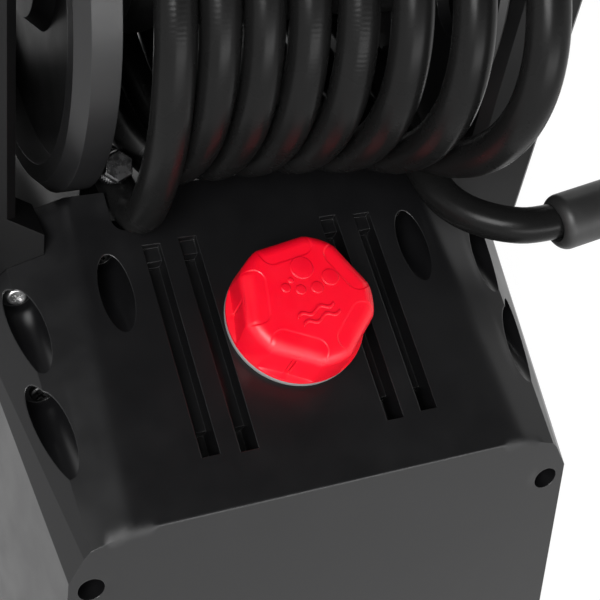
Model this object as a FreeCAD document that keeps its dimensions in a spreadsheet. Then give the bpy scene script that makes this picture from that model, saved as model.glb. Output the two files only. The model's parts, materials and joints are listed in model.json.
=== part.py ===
"""Upright pressure washer with a hose reel over a sloped soap deck, in millimetres.

X runs to the right as seen from the front, Y to the back and Z up. The origin lies on the
ground, under the middle of the machine.
"""
import FreeCAD, Part
import math
import os
import re

import Sketcher

V = FreeCAD.Vector

# Driving dimensions
SIZES = {
    # Deck, the sloped top of the front housing
    "deck_angle": 23.26,
    "deck_back_y": -30,
    "deck_back_z": 202.5,
    "deck_thick": 20,
    "deck_round": 1.6,
    "front_lean": 9.5,
    "crease_back": 74,
    "crease_front": 82,
    "edge_half_back": 101,
    "edge_half_front": 94.5,
    "edge_drop": 8.5,
    "bevel_out": 17,
    "bevel_down": 18.5,
    "bevel_out_front": 6.9,
    "bevel_down_front": 11,
    # Lower housings
    "side_flare": 5.3,
    "seam_z": 45,
    "tray_z": 14,
    "wall": 3,
    "housing_back_y": 138,
    "bay_floor_z": 158,
    "bay_wall": 4,
    "well_half": 100,
    "well_front_y": 8,
    "seat_gap": 0.3,
    # Slots in the deck
    "slots_below_lip": 24,
    "slot_first": 30.3,
    "slot_second": 45.3,
    "slot_width": 7.2,
    "slot_length": 89.2,
    "slot_depth": 9,
    "slot_end_shift": 1,
    "slot_step_length": 6,
    "slot_step_depth": 3.5,
    "slot_drain_length": 12,
    "slot_drain_depth": 14,
    # Screw wells
    "well_bore": 6.4,
    "well_inner_x": 63.5,
    "well_inner_down": 18.8,
    "well_inner_deep": 24,
    "well_outer_x": 97.6,
    "well_upper_down": 25,
    "well_lower_down": 65,
    "well_outer_deep": 23,
    "well_outer_drop": 6,
    "face_well_bore": 5,
    "face_well_x": 95.5,
    "face_well_z": 126.8,
    "face_well_deep": 12,
    "screw_head": 3.9,
    "screw_head_tall": 2.6,
    "screw_shank": 1.9,
    "screw_long": 12,
    "screw_cross": 1.1,
    # Rear louvres and fittings
    "vent_x": 45,
    "vent_half": 36,
    "vent_low_z": 82,
    "vent_pitch": 10,
    "vent_tall": 4.5,
    "inlet_x": -48,
    "inlet_z": 60,
    "inlet_radius": 13,
    "inlet_bore": 5,
    "inlet_end_y": 158,
    "inlet_tube_radius": 6,
    "inlet_run_y": 72,
    "gland_x": -48,
    "gland_z": 124,
    "gland_radius": 8,
    "outlet_radius": 4.5,
    "outlet_x": 70,
    "outlet_y": 3,
    "outlet_run_z": 145.5,
    "outlet_bend": 9,
    # Soap filler
    "cap_below_slots": 39.8,
    "cap_radius": 30.4,
    "cap_top_radius": 25.6,
    "cap_tall": 20,
    "cap_round": 4,
    "cap_wall": 2.6,
    "cap_grips": 5,
    "cap_first_grip": 9,
    "cap_grip_depth": 1.1,
    "cap_grip_sweep": 53,
    "cap_groove_half": 0.9,
    "cap_lift": 0.4,
    "neck_radius": 20,
    "neck_wall": 3,
    "neck_tall": 13,
    "neck_hole_gap": 2,
    "neck_root": 26,
    "gasket_tall": 2.6,
    "gasket_radius": 30.6,
    "seal_tall": 2,
    "tank_front_y": -144,
    "tank_back_y": -56,
    "tank_under_deck": 24,
    "tank_wall": 2.5,
    # Side arms
    "arm_front_y": -48.4,
    "arm_inner": 96,
    "arm_outer": 130,
    "arm_back_y": 126,
    "arm_top_z": 396,
    "arm_shoulder_z": 322,
    "arm_brow_y": -6,
    "arm_bevel": 4,
    "arm_wall": 3,
    "arm_low_z": 176,
    "foot_flare": 10,
    "foot_flare_top_z": 211,
    "foot_flare_low_z": 201,
    "cover_thick": 3,
    "cover_margin": 7,
    # Reel
    "reel_y": 43,
    "reel_z": 272,
    "flange_radius": 98,
    "flange_bevel": 5,
    "flange_left_x": -62,
    "flange_left_thick": 16,
    "flange_right_x": 84,
    "flange_right_thick": 6,
    "flange_windows": 6,
    "flange_window_radius": 15,
    "flange_window_ring": 68,
    "drum_radius": 35,
    "drum_wall": 3,
    "core_radius": 38.6,
    "axle_radius": 10,
    "axle_bore": 6,
    "running_gap": 0.05,
    "bush_radius": 16,
    "bush_lip": 20,
    "bush_lip_thick": 2.5,
    "crank_gap": 3.5,
    "crank_reach": 62,
    "crank_thick": 8,
    "crank_half": 9,
    "side_reach": 168,
    "crank_knob_radius": 11,
    "crank_pin_radius": 4,
    # Hose
    "hose_diameter": 15,
    "coil_turns": 7.75,
    "coil_first_x": -47,
    "coil_pitch": 15.7,
    "coil_blend": 3,
    "coil_left_y": 26.6,
    "coil_left_z": 268.2,
    "coil_left_front": 90.9,
    "coil_left_back": 84,
    "coil_left_rise": 80,
    "coil_left_drop": 72,
    "coil_right_y": 17.1,
    "coil_right_z": 298.9,
    "coil_right_front": 151.3,
    "coil_right_back": 104,
    "coil_right_rise": 78,
    "coil_right_drop": 79.1,
    "notch_x": -49.4,
    "notch_half": 8.6,
    "notch_front_y": -46,
    "notch_floor_z": 187.4,
    "notch_round": 5,
    "hose_start_y": -9,
    "hose_low_y": -18,
    "hose_low_z": 196.3,
    "hose_rise_y": -56.5,
    "hose_rise_z": 226,
    "hose_rise_lean": 12,
    "elbow_radius": 7.8,
    "elbow_inner_bend": 1.2,
    "elbow_low_z": 170,
    "nut_x": -54.4,
    "nut_y": -33,
    "nut_z": 217,
    "nut_flat": 5.5,
    "nut_tall": 7,
    "ring_radius": 6.8,
    "ring_tall": 7,
    "boss_radius": 3,
    "sleeve_start": 3,
    "sleeve_radius": 11.7,
    "sleeve_long": 62,
    "fitting_long": 30,
    "fitting_radius": 9.5,
    # Running gear
    "axle_y": 95,
    "wheel_radius": 80,
    "wheel_width": 30,
    "wheel_inner": 104.5,
    "hub_radius": 54,
    "wheel_axle_radius": 6,
    "radius_cap": 10,
    "tread_grooves": 36,
    "tread_depth": 2.5,
    "tread_half": 1.6,
    "hub_windows": 5,
    "hub_window_ring": 32,
    "hub_window_radius": 9,
    "foot_x": 82,
    "foot_inset": 29,
    "foot_radius": 15,
    "foot_stem": 5,
    # Motor and pump
    "motor_y": 20,
    "motor_z": 98,
    "motor_radius": 42,
    "motor_left_x": -80,
    "motor_right_x": 8,
    "motor_wall": 2.5,
    "motor_slots": 12,
    "shaft_radius": 5,
    "fan_left_x": -94,
    "fan_right_x": -83,
    "fan_hub": 11,
    "fan_radius": 34,
    "fan_blades": 8,
    "pump_right_x": 48,
    "pump_radius": 34,
    "head_right_x": 86,
    "head_half": 30,
    # Handle and top bridge
    "bridge_tall": 34,
    "bridge_front_y": 30,
    "handle_x": 113,
    "handle_y": 104,
    "handle_outer_radius": 9.5,
    "handle_inner_radius": 7,
    "handle_gap": 0.4,
    "grip_tall": 26,
    "grip_half": 127,
    "grip_half_depth": 14,
    "grip_socket": 16,
    "button_half": 14,
    "button_half_depth": 8,
    "button_tall": 9,
    "button_travel": 4,
    "switch_radius": 17,
    "switch_stem": 5,
    "switch_tall": 11,
    "switch_z": 413,
    # Spray gun on its holster
    "gun_x": 150,
    "gun_y": 66,
    "gun_half": 12,
    "lance_radius": 6,
    "lance_bottom_z": 58,
    "gun_bottom_z": 268,
    "lance_bore": 2.5,
    "nozzle_radius": 9,
    "nozzle_tall": 26,
    "holster_plate": 5.7,
    "holster_low_z": 186,
    "hook_tall": 14,
    "hook_half": 14,
    "trigger_half": 5,
    "trigger_pin_in": 18,
    "trigger_pin_up": 98,
    "trigger_pin_radius": 2.5,
}

# Sizes that follow from the driving ones, as text for the expression engine
DERIVED = {
    "nose_y": "-(axle_y + wheel_radius)",
    "shoulder_slope": "edge_drop / (edge_half_back - crease_back)",
    "edge_drop_front": "(edge_half_front - crease_front) * shoulder_slope",
    "wall_top_back_z": "deck_back_z - edge_drop - bevel_down",
    "wall_top_front_z": "nose_z - edge_drop_front - bevel_down_front",
    "tank_bottom_z": "tray_z + wall + seat_gap",
    "base_half_back": "edge_half_back + bevel_out + (wall_top_back_z - tray_z) * tan(side_flare)",
    "nose_z": "deck_back_z - (deck_back_y - nose_y) * tan(deck_angle)",
    "face_top_y": "deck_back_y - deck_run * cos(deck_angle)",
    "face_top_z": "deck_back_z - deck_run * sin(deck_angle)",
    "deck_run": "((deck_back_y - nose_y) - (seam_to_tray) * tan(front_lean)"
                " - (deck_back_z - seam_z) * tan(front_lean))"
                " / (cos(deck_angle) - sin(deck_angle) * tan(front_lean))",
    "seam_to_tray": "seam_z - tray_z",
    "slots_y": "deck_back_y - slots_below_lip * cos(deck_angle)",
    "slots_z": "deck_back_z - slots_below_lip * sin(deck_angle)",
    "cap_y": "slots_y - cap_below_slots * cos(deck_angle)",
    "cap_z": "slots_z - cap_below_slots * sin(deck_angle)",
    "inner_well_y": "slots_y - well_inner_down * cos(deck_angle)",
    "inner_well_z": "slots_z - well_inner_down * sin(deck_angle)",
    "upper_well_y": "slots_y - well_upper_down * cos(deck_angle)",
    "upper_well_z": "slots_z - well_upper_down * sin(deck_angle) - well_outer_drop",
    "lower_well_y": "slots_y - well_lower_down * cos(deck_angle)",
    "lower_well_z": "slots_z - well_lower_down * sin(deck_angle) - well_outer_drop",
    "seam_front_y": "nose_y + seam_to_tray * tan(front_lean)",
    "hose_radius": "hose_diameter / 2",
    "arch_z": "2 * wheel_radius + 2 * wall",
    "cavity_low_z": "deck_back_z + 3 * wall",
    "stub_x": "notch_x",
    "foot_y": "nose_y + foot_inset",
    "tank_half": "edge_half_front - 3.5 * wall",
    "handle_bottom_z": "arch_z + wall",
    "handle_slide_low": "handle_bottom_z + 2 * wall",
    "trigger_pin_y": "gun_y + trigger_pin_in",
    "trigger_pin_z": "gun_bottom_z + trigger_pin_up",
    "grip_z": "bridge_top_z + seat_gap",
    "arm_base_z": "bay_floor_z + seat_gap",
    "bridge_z": "arm_top_z + seat_gap",
    "bridge_top_z": "bridge_z + bridge_tall",
}
WORD = re.compile(r"[a-z][a-z_]*[a-z]")

doc = FreeCAD.newDocument("pressure_washer")
sheet = doc.addObject("Spreadsheet::Sheet", "dims")
for row, (alias, number) in enumerate(SIZES.items(), 1):
    sheet.set(f"A{row}", str(number))
    sheet.setAlias(f"A{row}", alias)
doc.recompute()

parts = []


def full(text):
    """The expression with each size's name pointing at its cell."""
    def swap(match):
        word = match.group()
        if word in SIZES:
            return "dims." + word
        if word in DERIVED:
            return "(" + full(DERIVED[word]) + ")"
        return word
    return WORD.sub(swap, str(text))


def size(text):
    """The value of an expression on the sheet's sizes."""
    return float(sheet.evalExpression(full(text)))


def bind(thing, **expressions):
    """Tie properties to the sheet; a double underscore stands for the dot in a name."""
    for name, text in expressions.items():
        thing.setExpression(name.replace("__", "."), full(text))


def new_body(label):
    """An empty body that becomes the sub-part of that name."""
    body = doc.addObject("PartDesign::Body", label)
    body.Label = label
    parts.append(body)
    return body


def mirror(points):
    """The same outline on the other side of the middle plane."""
    return [(f"-({x})", y) for x, y in points]


def box_outline(x_low, x_high, y_low, y_high):
    """A rectangle as four corners."""
    return [(x_low, y_low), (x_high, y_low), (x_high, y_high), (x_low, y_high)]


def add_sketch(body, role, shapes, level="0", deck=None):
    """A sketch on one of the body's origin planes: polygons are lists, circles are tuples."""
    plane = [item for item in body.Origin.OriginFeatures if item.Role == role + "_Plane"][0]
    sketch = body.newObject("Sketcher::SketchObject", body.Label + "_sketch")
    sketch.AttachmentSupport = [(plane, "")]
    sketch.MapMode = "FlatFace"
    if deck:
        y, z = deck
        tilt = FreeCAD.Rotation(V(1, 0, 0), size("deck_angle"))
        sketch.AttachmentOffset = FreeCAD.Placement(V(0, size(y), size(z)), tilt)
        bind(sketch, AttachmentOffset__Base__y=y, AttachmentOffset__Base__z=z,
             AttachmentOffset__Rotation__Angle="deck_angle")
    else:
        sign = "-" if role == "XZ" else ""
        bind(sketch, AttachmentOffset__Base__z=f"{sign}({level})")
    for shape in shapes:
        if isinstance(shape, tuple):
            add_circle(sketch, *shape)
        else:
            add_polygon(sketch, shape)
    return sketch


def add_circle(sketch, x, y, radius):
    """A circle held by its centre and radius."""
    index = sketch.addGeometry(Part.Circle(V(size(x), size(y), 0), V(0, 0, 1), size(radius)))
    for kind, text in (("DistanceX", x), ("DistanceY", y)):
        hold = sketch.addConstraint(Sketcher.Constraint(kind, -1, 1, index, 3, size(text)))
        sketch.setExpression(f"Constraints[{hold}]", full(text))
    hold = sketch.addConstraint(Sketcher.Constraint("Radius", index, size(radius)))
    sketch.setExpression(f"Constraints[{hold}]", full(radius))


def add_polygon(sketch, points):
    """A closed outline of straight lines, each corner held by its two distances."""
    corners = [V(size(x), size(y), 0) for x, y in points]
    first = sketch.GeometryCount
    count = len(corners)
    for k in range(count):
        sketch.addGeometry(Part.LineSegment(corners[k], corners[(k + 1) % count]))
    for k in range(count):
        joined = Sketcher.Constraint("Coincident", first + k, 2, first + (k + 1) % count, 1)
        sketch.addConstraint(joined)
    for k, (x, y) in enumerate(points):
        for kind, text in (("DistanceX", x), ("DistanceY", y)):
            rule = Sketcher.Constraint(kind, -1, 1, first + k, 1, size(text))
            hold = sketch.addConstraint(rule)
            sketch.setExpression(f"Constraints[{hold}]", full(text))


def pad(body, role, shapes, low, high):
    """Material between two places along the axis that the plane faces."""
    sketch = add_sketch(body, role, shapes, high if role == "XZ" else low)
    feature = body.newObject("PartDesign::Pad", body.Label + "_pad")
    feature.Profile = sketch
    bind(feature, Length=f"({high}) - ({low})")
    return feature


def cut(body, role, shapes, low, high):
    """A pocket between two places along the axis that the plane faces."""
    sketch = add_sketch(body, role, shapes, low if role == "XZ" else high)
    feature = body.newObject("PartDesign::Pocket", body.Label + "_pocket")
    feature.Profile = sketch
    bind(feature, Length=f"({high}) - ({low})")
    return feature


def deck_pad(body, shapes, y, z, high):
    """Material that stands square on the deck, from a point on it."""
    feature = body.newObject("PartDesign::Pad", body.Label + "_pad")
    feature.Profile = add_sketch(body, "XY", shapes, deck=(y, z))
    bind(feature, Length=high)
    return feature


def deck_cut(body, shapes, y, z, depth):
    """A pocket that goes square into the deck, from a point on it."""
    feature = body.newObject("PartDesign::Pocket", body.Label + "_pocket")
    feature.Profile = add_sketch(body, "XY", shapes, deck=(y, z))
    bind(feature, Length=depth)
    return feature


def turned(label, profile, y="0", z="0", deck=None):
    """A piece turned about the X axis through (y, z), or about the deck's normal."""
    body = new_body(label)
    turn_profile(body, profile)
    if deck:
        place_on_deck(body, *deck)
    else:
        bind(body, Placement__Base__y=y, Placement__Base__z=z)
    return body


def turn_profile(body, profile, kind="Revolution", axis="X"):
    """A full turn of an outline about the body's own X axis; the outline is (along, out)."""
    sketch = add_sketch(body, "XY", [profile])
    feature = body.newObject("PartDesign::" + kind, body.Label + "_turn")
    feature.Profile = sketch
    feature.ReferenceAxis = (sketch, ["H_Axis" if axis == "X" else "V_Axis"])
    feature.Angle = 360
    return feature


def place_on_deck(body, y, z):
    """Lay the body's X axis along the deck's normal, from a point on the deck."""
    lean = FreeCAD.Rotation(V(1, 0, 0), size("deck_angle"))
    upright = FreeCAD.Rotation(V(0, 1, 0), -90)
    body.Placement = FreeCAD.Placement(V(0, size(y), size(z)), lean.multiply(upright))
    bind(body, Placement__Base__y=y, Placement__Base__z=z)


def around(body, features, count):
    """Repeat features in a ring about the body's X axis."""
    axis = [item for item in body.Origin.OriginFeatures if item.Role == "X_Axis"][0]
    pattern = body.newObject("PartDesign::PolarPattern", body.Label + "_ring")
    pattern.Originals = features
    pattern.Axis = (axis, [""])
    pattern.Angle = 360
    bind(pattern, Occurrences=count)
    body.Tip = pattern
    return pattern


def soften(body, radius, chosen, kind="Fillet"):
    """Round or bevel the edges for which chosen(edge) is true."""
    doc.recompute()
    base = body.Tip
    names = [f"Edge{k}" for k, edge in enumerate(base.Shape.Edges, 1) if chosen(edge)]
    if not names:
        raise RuntimeError("no edge to soften on " + body.Label)
    feature = body.newObject("PartDesign::" + kind, body.Label + "_soft")
    feature.Base = (base, names)
    bind(feature, **{"Radius" if kind == "Fillet" else "Size": radius})
    return feature


def near(number, text, reach=0.05):
    """Whether a measured number is the size that the expression gives."""
    return abs(number - size(text)) < reach


def rod(label, x_low, x_high, radius, y, z, bore=None):
    """A plain round bar along X, hollow where a bore is given."""
    outline = [(x_low, bore or "0"), (x_high, bore or "0"), (x_high, radius), (x_low, radius)]
    return turned(label, outline, y, z)


def shape_part(label, shape):
    """A sub-part whose shape is worked out here from the sheet's sizes."""
    feature = doc.addObject("Part::Feature", label)
    feature.Label = label
    feature.Shape = shape
    parts.append(feature)
    return feature


def slice_off(body, first, second, third, clear="0"):
    """Cut away all that lies beyond the plane through three points, on the side facing out."""
    points = [V(*[size(text) for text in point]) for point in (first, second, third)]
    normal = (points[1] - points[0]).cross(points[2] - points[0]).normalize()
    outward = V(points[0].x, 0, size("deck_back_z"))
    if normal.dot(outward) < 0:
        normal = normal.negative()
    origin = points[0] + normal * size(clear)
    plane = [item for item in body.Origin.OriginFeatures if item.Role == "XY_Plane"][0]
    sketch = body.newObject("Sketcher::SketchObject", body.Label + "_sketch")
    sketch.AttachmentSupport = [(plane, "")]
    sketch.MapMode = "FlatFace"
    sketch.AttachmentOffset = FreeCAD.Placement(origin, FreeCAD.Rotation(V(0, 0, 1), normal))
    add_polygon(sketch, box_outline("-2 * deck_back_z", "2 * deck_back_z",
                                    "-2 * deck_back_z", "2 * deck_back_z"))
    feature = body.newObject("PartDesign::Pocket", body.Label + "_slice")
    feature.Profile = sketch
    feature.Reversed = True
    bind(feature, Length="deck_back_z")
    return feature


def trim_sides(body, clear="0"):
    """Slice a block's two sides to the soft shoulder, the steep bevel and the flared wall."""
    crisp_back = ("edge_half_back", "deck_back_y", "deck_back_z - edge_drop")
    crisp_front = ("edge_half_front", "nose_y", "nose_z - edge_drop_front")
    wall_back = ("edge_half_back + bevel_out", "deck_back_y", "wall_top_back_z")
    wall_front = ("edge_half_front + bevel_out_front", "nose_y", "wall_top_front_z")
    wall_low = ("base_half_back", "deck_back_y", "tray_z")
    planes = [
        (("crease_back", "deck_back_y", "deck_back_z"), ("crease_front", "nose_y", "nose_z"), crisp_back),
        (crisp_back, crisp_front, wall_back),
        (crisp_front, wall_front, wall_back),
        (wall_back, wall_front, wall_low),
    ]
    for plane in planes:
        slice_off(body, *plane, clear=clear)
        slice_off(body, *[(f"-({x})", y, z) for x, y, z in plane], clear=clear)


def deck_height(y):
    """Height of the deck's surface at Y."""
    return f"(deck_back_z - (deck_back_y - ({y})) * tan(deck_angle))"


def hollow(body, half, roof, front, back):
    """A hollow open at the seam: its roof runs parallel to the deck, that far below it."""
    outline = [(front, "seam_z - wall"), (back, "seam_z - wall"),
               (back, f"{deck_height(back)} - ({roof})"), (front, f"{deck_height(front)} - ({roof})")]
    cut(body, "YZ", [outline], f"-({half})", half)


def make_front_housing():
    """The moulded deck, shoulders and front face: slots, screw wells and the filler's hole."""
    body = new_body("front_housing")
    side_view = [("seam_front_y", "seam_z"), ("deck_back_y", "seam_z"),
                 ("deck_back_y", "deck_back_z"), ("face_top_y", "face_top_z")]
    pad(body, "YZ", [side_view], "-base_half_back", "base_half_back")
    trim_sides(body)
    soften(body, "deck_round", is_deck_front_edge)
    inner_front = "face_top_y + 2 * wall"
    inner_back = "deck_back_y - bay_wall"
    hollow(body, "edge_half_front - 2 * wall", "deck_thick", inner_front, inner_back)
    hollow(body, "edge_half_front + bevel_out_front - 2 * wall", "deck_thick + edge_drop + bevel_down",
           inner_front, inner_back)
    doorway = box_outline("-(edge_half_back)", "edge_half_back", "seam_z - wall",
                          "bay_floor_z - 2 * wall")
    cut(body, "XZ", [doorway], "deck_back_y - 2 * bay_wall", "deck_back_y + wall")
    notch = box_outline("notch_x - notch_half", "notch_x + notch_half", "notch_front_y",
                        "deck_back_y + wall")
    cut(body, "XY", [notch], "notch_floor_z", "deck_back_z + wall")
    soften(body, "notch_round", is_notch_corner)
    cut_deck_slots(body)
    cut_screw_wells(body)
    hole = [("0", "0", "neck_radius + neck_hole_gap")]
    deck_cut(body, hole, "cap_y - sin(deck_angle)", "cap_z + cos(deck_angle)", "2 * deck_thick")
    return body


def is_deck_front_edge(edge):
    """The straight edge where the deck turns down into the front face."""
    middle = edge.valueAt((edge.FirstParameter + edge.LastParameter) / 2)
    ends = [vertex.Point for vertex in edge.Vertexes]
    level = len(ends) == 2 and abs(ends[0].z - ends[1].z) < 0.01
    return level and near(middle.y, "face_top_y", 1) and near(middle.x, "0", 1)


def is_notch_corner(edge):
    """The two upright corners at the front of the hose's notch in the lip."""
    middle = edge.valueAt((edge.FirstParameter + edge.LastParameter) / 2)
    upright = abs(edge.tangentAt(edge.FirstParameter).z) > 0.99
    return upright and near(middle.y, "notch_front_y") and abs(middle.x) < size("crease_back")


def cut_deck_slots(body):
    """Four long blind slots, each with a shallow step at its top and a drain pocket below."""
    lanes = [("slot_first", "0"), ("slot_second", "slot_end_shift")]
    for side in ("", "-"):
        for middle, shift in lanes:
            low = f"{side}({middle}) - slot_width / 2"
            high = f"{side}({middle}) + slot_width / 2"
            end = f"slot_length - {shift}"
            groove = box_outline(low, high, f"-({end})", f"-(slot_step_length + {shift})")
            step = box_outline(low, high, f"-(slot_step_length + {shift})", f"-({shift})")
            drain = box_outline(low, high, f"-({end})", f"slot_drain_length - ({end})")
            deck_cut(body, [groove], "slots_y", "slots_z", "slot_depth")
            deck_cut(body, [step], "slots_y", "slots_z", "slot_step_depth")
            deck_cut(body, [drain], "slots_y", "slots_z", "slot_drain_depth")


WELLS = [
    ("well_inner_x", "inner_well_y", "inner_well_z", "well_inner_deep", "well_bore"),
    ("well_outer_x", "upper_well_y", "upper_well_z", "well_outer_deep", "well_bore"),
    ("well_outer_x", "lower_well_y", "lower_well_z", "well_outer_deep", "well_bore"),
    ("face_well_x", "seam_front_y + (face_well_z - seam_z) * tan(front_lean)", "face_well_z",
     "face_well_deep", "face_well_bore"),
]


def cut_screw_wells(body):
    """Round wells that run level to the back; a screw's head sits on each floor."""
    for side in ("", "-"):
        for x, y, z, deep, bore in WELLS:
            centre = f"{side}({x})"
            well = add_sketch(body, "XZ", [(centre, z, bore)], f"{y} + {deep}")
            feature = body.newObject("PartDesign::Pocket", "well")
            feature.Profile = well
            feature.Reversed = True
            bind(feature, Length=f"{deep} + 5 * {bore}")
            hole = [(centre, z, "screw_shank + seat_gap")]
            cut(body, "XZ", hole, f"{y} + {deep} - wall", f"{y} + {deep} + screw_long + wall")


def make_screws():
    """The screws that stand in the wells, with a cross cut in each head."""
    solids = []
    for sign in (1, -1):
        for x, y, z, deep, bore in WELLS:
            floor = V(sign * size(x), size(f"{y} + {deep}"), size(z))
            head = Part.makeCylinder(size("screw_head"), size("screw_head_tall"), floor, V(0, -1, 0))
            edge = head.Edges[0] if head.Edges[0].BoundBox.YMin < floor.y - 1 else head.Edges[2]
            head = head.makeFillet(size("screw_head_tall") / 3, [edge])
            shank = Part.makeCylinder(size("screw_shank"), size("screw_long"), floor, V(0, 1, 0))
            arm = size("screw_cross")
            reach = size("screw_head") * 0.62
            corner = V(floor.x - reach, floor.y - size("screw_head_tall") - 1, floor.z - arm / 2)
            bar = Part.makeBox(2 * reach, size("screw_head_tall") / 2 + 1, arm, corner)
            cross = bar.rotate(floor, V(0, 1, 0), 45).fuse(bar.rotated(floor, V(0, 1, 0), 90))
            solids.append(head.fuse(shank).cut(cross))
    return shape_part("housing_screws", Part.makeCompound(solids))


def make_rear_housing():
    """The rear half of the base: bay floor above, wheel wells at the sides, louvres at the back."""
    body = new_body("rear_housing")
    front = "deck_back_y + seat_gap"
    block = box_outline(front, "housing_back_y", "seam_z", "bay_floor_z")
    pad(body, "YZ", [block], "-base_half_back", "base_half_back")
    wall_top = ("edge_half_back + bevel_out", "deck_back_y", "wall_top_back_z")
    wall_low = ("base_half_back", "deck_back_y", "tray_z")
    wall_end = ("base_half_back", "housing_back_y", "tray_z")
    slice_off(body, wall_top, wall_low, wall_end)
    slice_off(body, *[(f"-({x})", y, z) for x, y, z in (wall_top, wall_low, wall_end)])
    well = box_outline("well_half", "2 * base_half_back", "well_front_y", "housing_back_y + wall")
    for flip in (list, mirror):
        cut(body, "XY", [flip(well)], "seam_z - wall", "bay_floor_z + wall")
    soften(body, "2 * wall", is_rear_corner)
    inside = box_outline("wall - well_half", "well_half - wall", "deck_back_y", "housing_back_y - wall")
    cut(body, "XY", [inside], "seam_z - wall", "bay_floor_z - wall")
    for flip in (list, mirror):
        pocket = box_outline("well_half - 2 * wall", "edge_half_back + bevel_out - wall", "deck_back_y",
                             "well_front_y - wall")
        cut(body, "XY", [flip(pocket)], "seam_z - wall", "bay_floor_z - 4 * wall")
    louvres = [box_outline("vent_x - vent_half", "vent_x + vent_half", f"vent_low_z + {k} * vent_pitch",
                           f"vent_low_z + {k} * vent_pitch + vent_tall") for k in range(6)]
    cut(body, "XZ", louvres, "housing_back_y - 2 * wall", "housing_back_y + wall")
    holes = [("inlet_x", "inlet_z", "inlet_radius + seat_gap"),
             ("gland_x", "gland_z", "gland_radius + seat_gap")]
    cut(body, "XZ", holes, "housing_back_y - 2 * wall", "housing_back_y + wall")
    axle_hole = [("axle_y", "wheel_radius", "wheel_axle_radius + seat_gap")]
    cut(body, "YZ", axle_hole, "-base_half_back", "base_half_back")
    cut(body, "XY", [("stub_x", "outlet_y", "outlet_radius + seat_gap")], "bay_floor_z - 2 * wall",
        "bay_floor_z + wall")
    return body


def is_rear_corner(edge):
    """The two upright corners at the back of the base."""
    middle = edge.valueAt((edge.FirstParameter + edge.LastParameter) / 2)
    upright = len(edge.Vertexes) == 2 and edge.Length > 0.9 * size("bay_floor_z - seam_z")
    return upright and near(middle.y, "housing_back_y") and near(abs(middle.x), "well_half")


def make_base_tray():
    """The bottom pan: a low wall round the edge, motor cradles and bosses for the feet."""
    body = new_body("base_tray")
    side_view = [("nose_y", "tray_z"), ("housing_back_y", "tray_z"),
                 ("housing_back_y", "seam_z - seat_gap"), ("seam_front_y", "seam_z - seat_gap")]
    pad(body, "YZ", [side_view], "-base_half_back", "base_half_back")
    crisp = [("edge_half_back + bevel_out", "deck_back_y", "wall_top_back_z"),
             ("edge_half_front + bevel_out_front", "nose_y", "wall_top_front_z"),
             ("base_half_back", "deck_back_y", "tray_z")]
    behind = [("edge_half_back + bevel_out", "deck_back_y", "wall_top_back_z"),
              ("base_half_back", "deck_back_y", "tray_z"), ("base_half_back", "housing_back_y", "tray_z")]
    for plane in (crisp, behind):
        slice_off(body, *plane)
        slice_off(body, *[(f"-({x})", y, z) for x, y, z in plane])
    well = box_outline("well_half", "2 * base_half_back", "well_front_y", "housing_back_y + wall")
    for flip in (list, mirror):
        cut(body, "XY", [flip(well)], "tray_z - wall", "seam_z + wall")
    inner = "edge_half_front + bevel_out_front - 2 * wall"
    inside = box_outline(f"-({inner})", inner, "nose_y + 4 * wall", "deck_back_y + 6 * wall")
    cut(body, "XY", [inside], "tray_z + wall", "seam_z + wall")
    rear = box_outline("2 * wall - well_half", "well_half - 2 * wall", "deck_back_y + 5 * wall",
                       "housing_back_y - 2 * wall")
    cut(body, "XY", [rear], "tray_z + wall", "seam_z + wall")
    for x in ("motor_left_x + 4 * wall", "motor_right_x - 6 * wall"):
        cradle = box_outline(f"{x}", f"{x} + 2 * wall", "motor_y - motor_radius * 0.7",
                             "motor_y + motor_radius * 0.7")
        pad(body, "XY", [cradle], "tray_z + wall / 2", "motor_z - motor_radius * 0.62")
    cut(body, "YZ", [("motor_y", "motor_z", "motor_radius + seat_gap")], "motor_left_x",
        "motor_right_x")
    for sign in ("", "-"):
        cut(body, "XY", [(f"{sign}foot_x", "foot_y", "foot_stem + seat_gap")], "tray_z - wall",
            "tray_z + 2 * wall")
    return body


def make_foot(label, sign):
    """A rubber foot: a tapered pad with a stem pushed into the tray."""
    foot = turned(label, [("0", "0"), ("0", "foot_radius"), ("tray_z - seat_gap", "foot_radius - 2"),
                          ("tray_z - seat_gap", "foot_stem"), ("tray_z + wall - seat_gap", "foot_stem"),
                          ("tray_z + wall - seat_gap", "0")])
    upright = FreeCAD.Rotation(V(0, 1, 0), -90)
    foot.Placement = FreeCAD.Placement(V(sign * size("foot_x"), size("foot_y"), 0), upright)
    bind(foot, Placement__Base__x=f"{sign} * foot_x", Placement__Base__y="foot_y")
    return foot


def make_tank():
    """The detergent tank: its roof runs under the deck and its neck stands through the filler hole."""
    body = new_body("soap_tank")
    back_z = f"{deck_height('tank_back_y')} - tank_under_deck"
    front_z = f"{deck_height('tank_front_y')} - tank_under_deck"
    side_view = [("tank_front_y", "tank_bottom_z"), ("tank_back_y", "tank_bottom_z"),
                 ("tank_back_y", back_z), ("tank_front_y", front_z)]
    pad(body, "YZ", [side_view], "-tank_half", "tank_half")
    deck_pad(body, [("0", "0", "neck_radius")], "cap_y + sin(deck_angle) * neck_root",
             "cap_z - cos(deck_angle) * neck_root", "neck_root + neck_tall")
    inner_view = [("tank_front_y + tank_wall", "tank_bottom_z + tank_wall"),
                  ("tank_back_y - tank_wall", "tank_bottom_z + tank_wall"),
                  ("tank_back_y - tank_wall", f"{back_z} - 1.2 * tank_wall"),
                  ("tank_front_y + tank_wall", f"{front_z} - 1.2 * tank_wall")]
    cut(body, "YZ", [inner_view], "tank_wall - tank_half", "tank_half - tank_wall")
    deck_cut(body, [("0", "0", "neck_radius - neck_wall")], "cap_y - sin(deck_angle) * neck_tall",
             "cap_z + cos(deck_angle) * neck_tall", "neck_tall + 2 * tank_under_deck")
    return body


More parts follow.
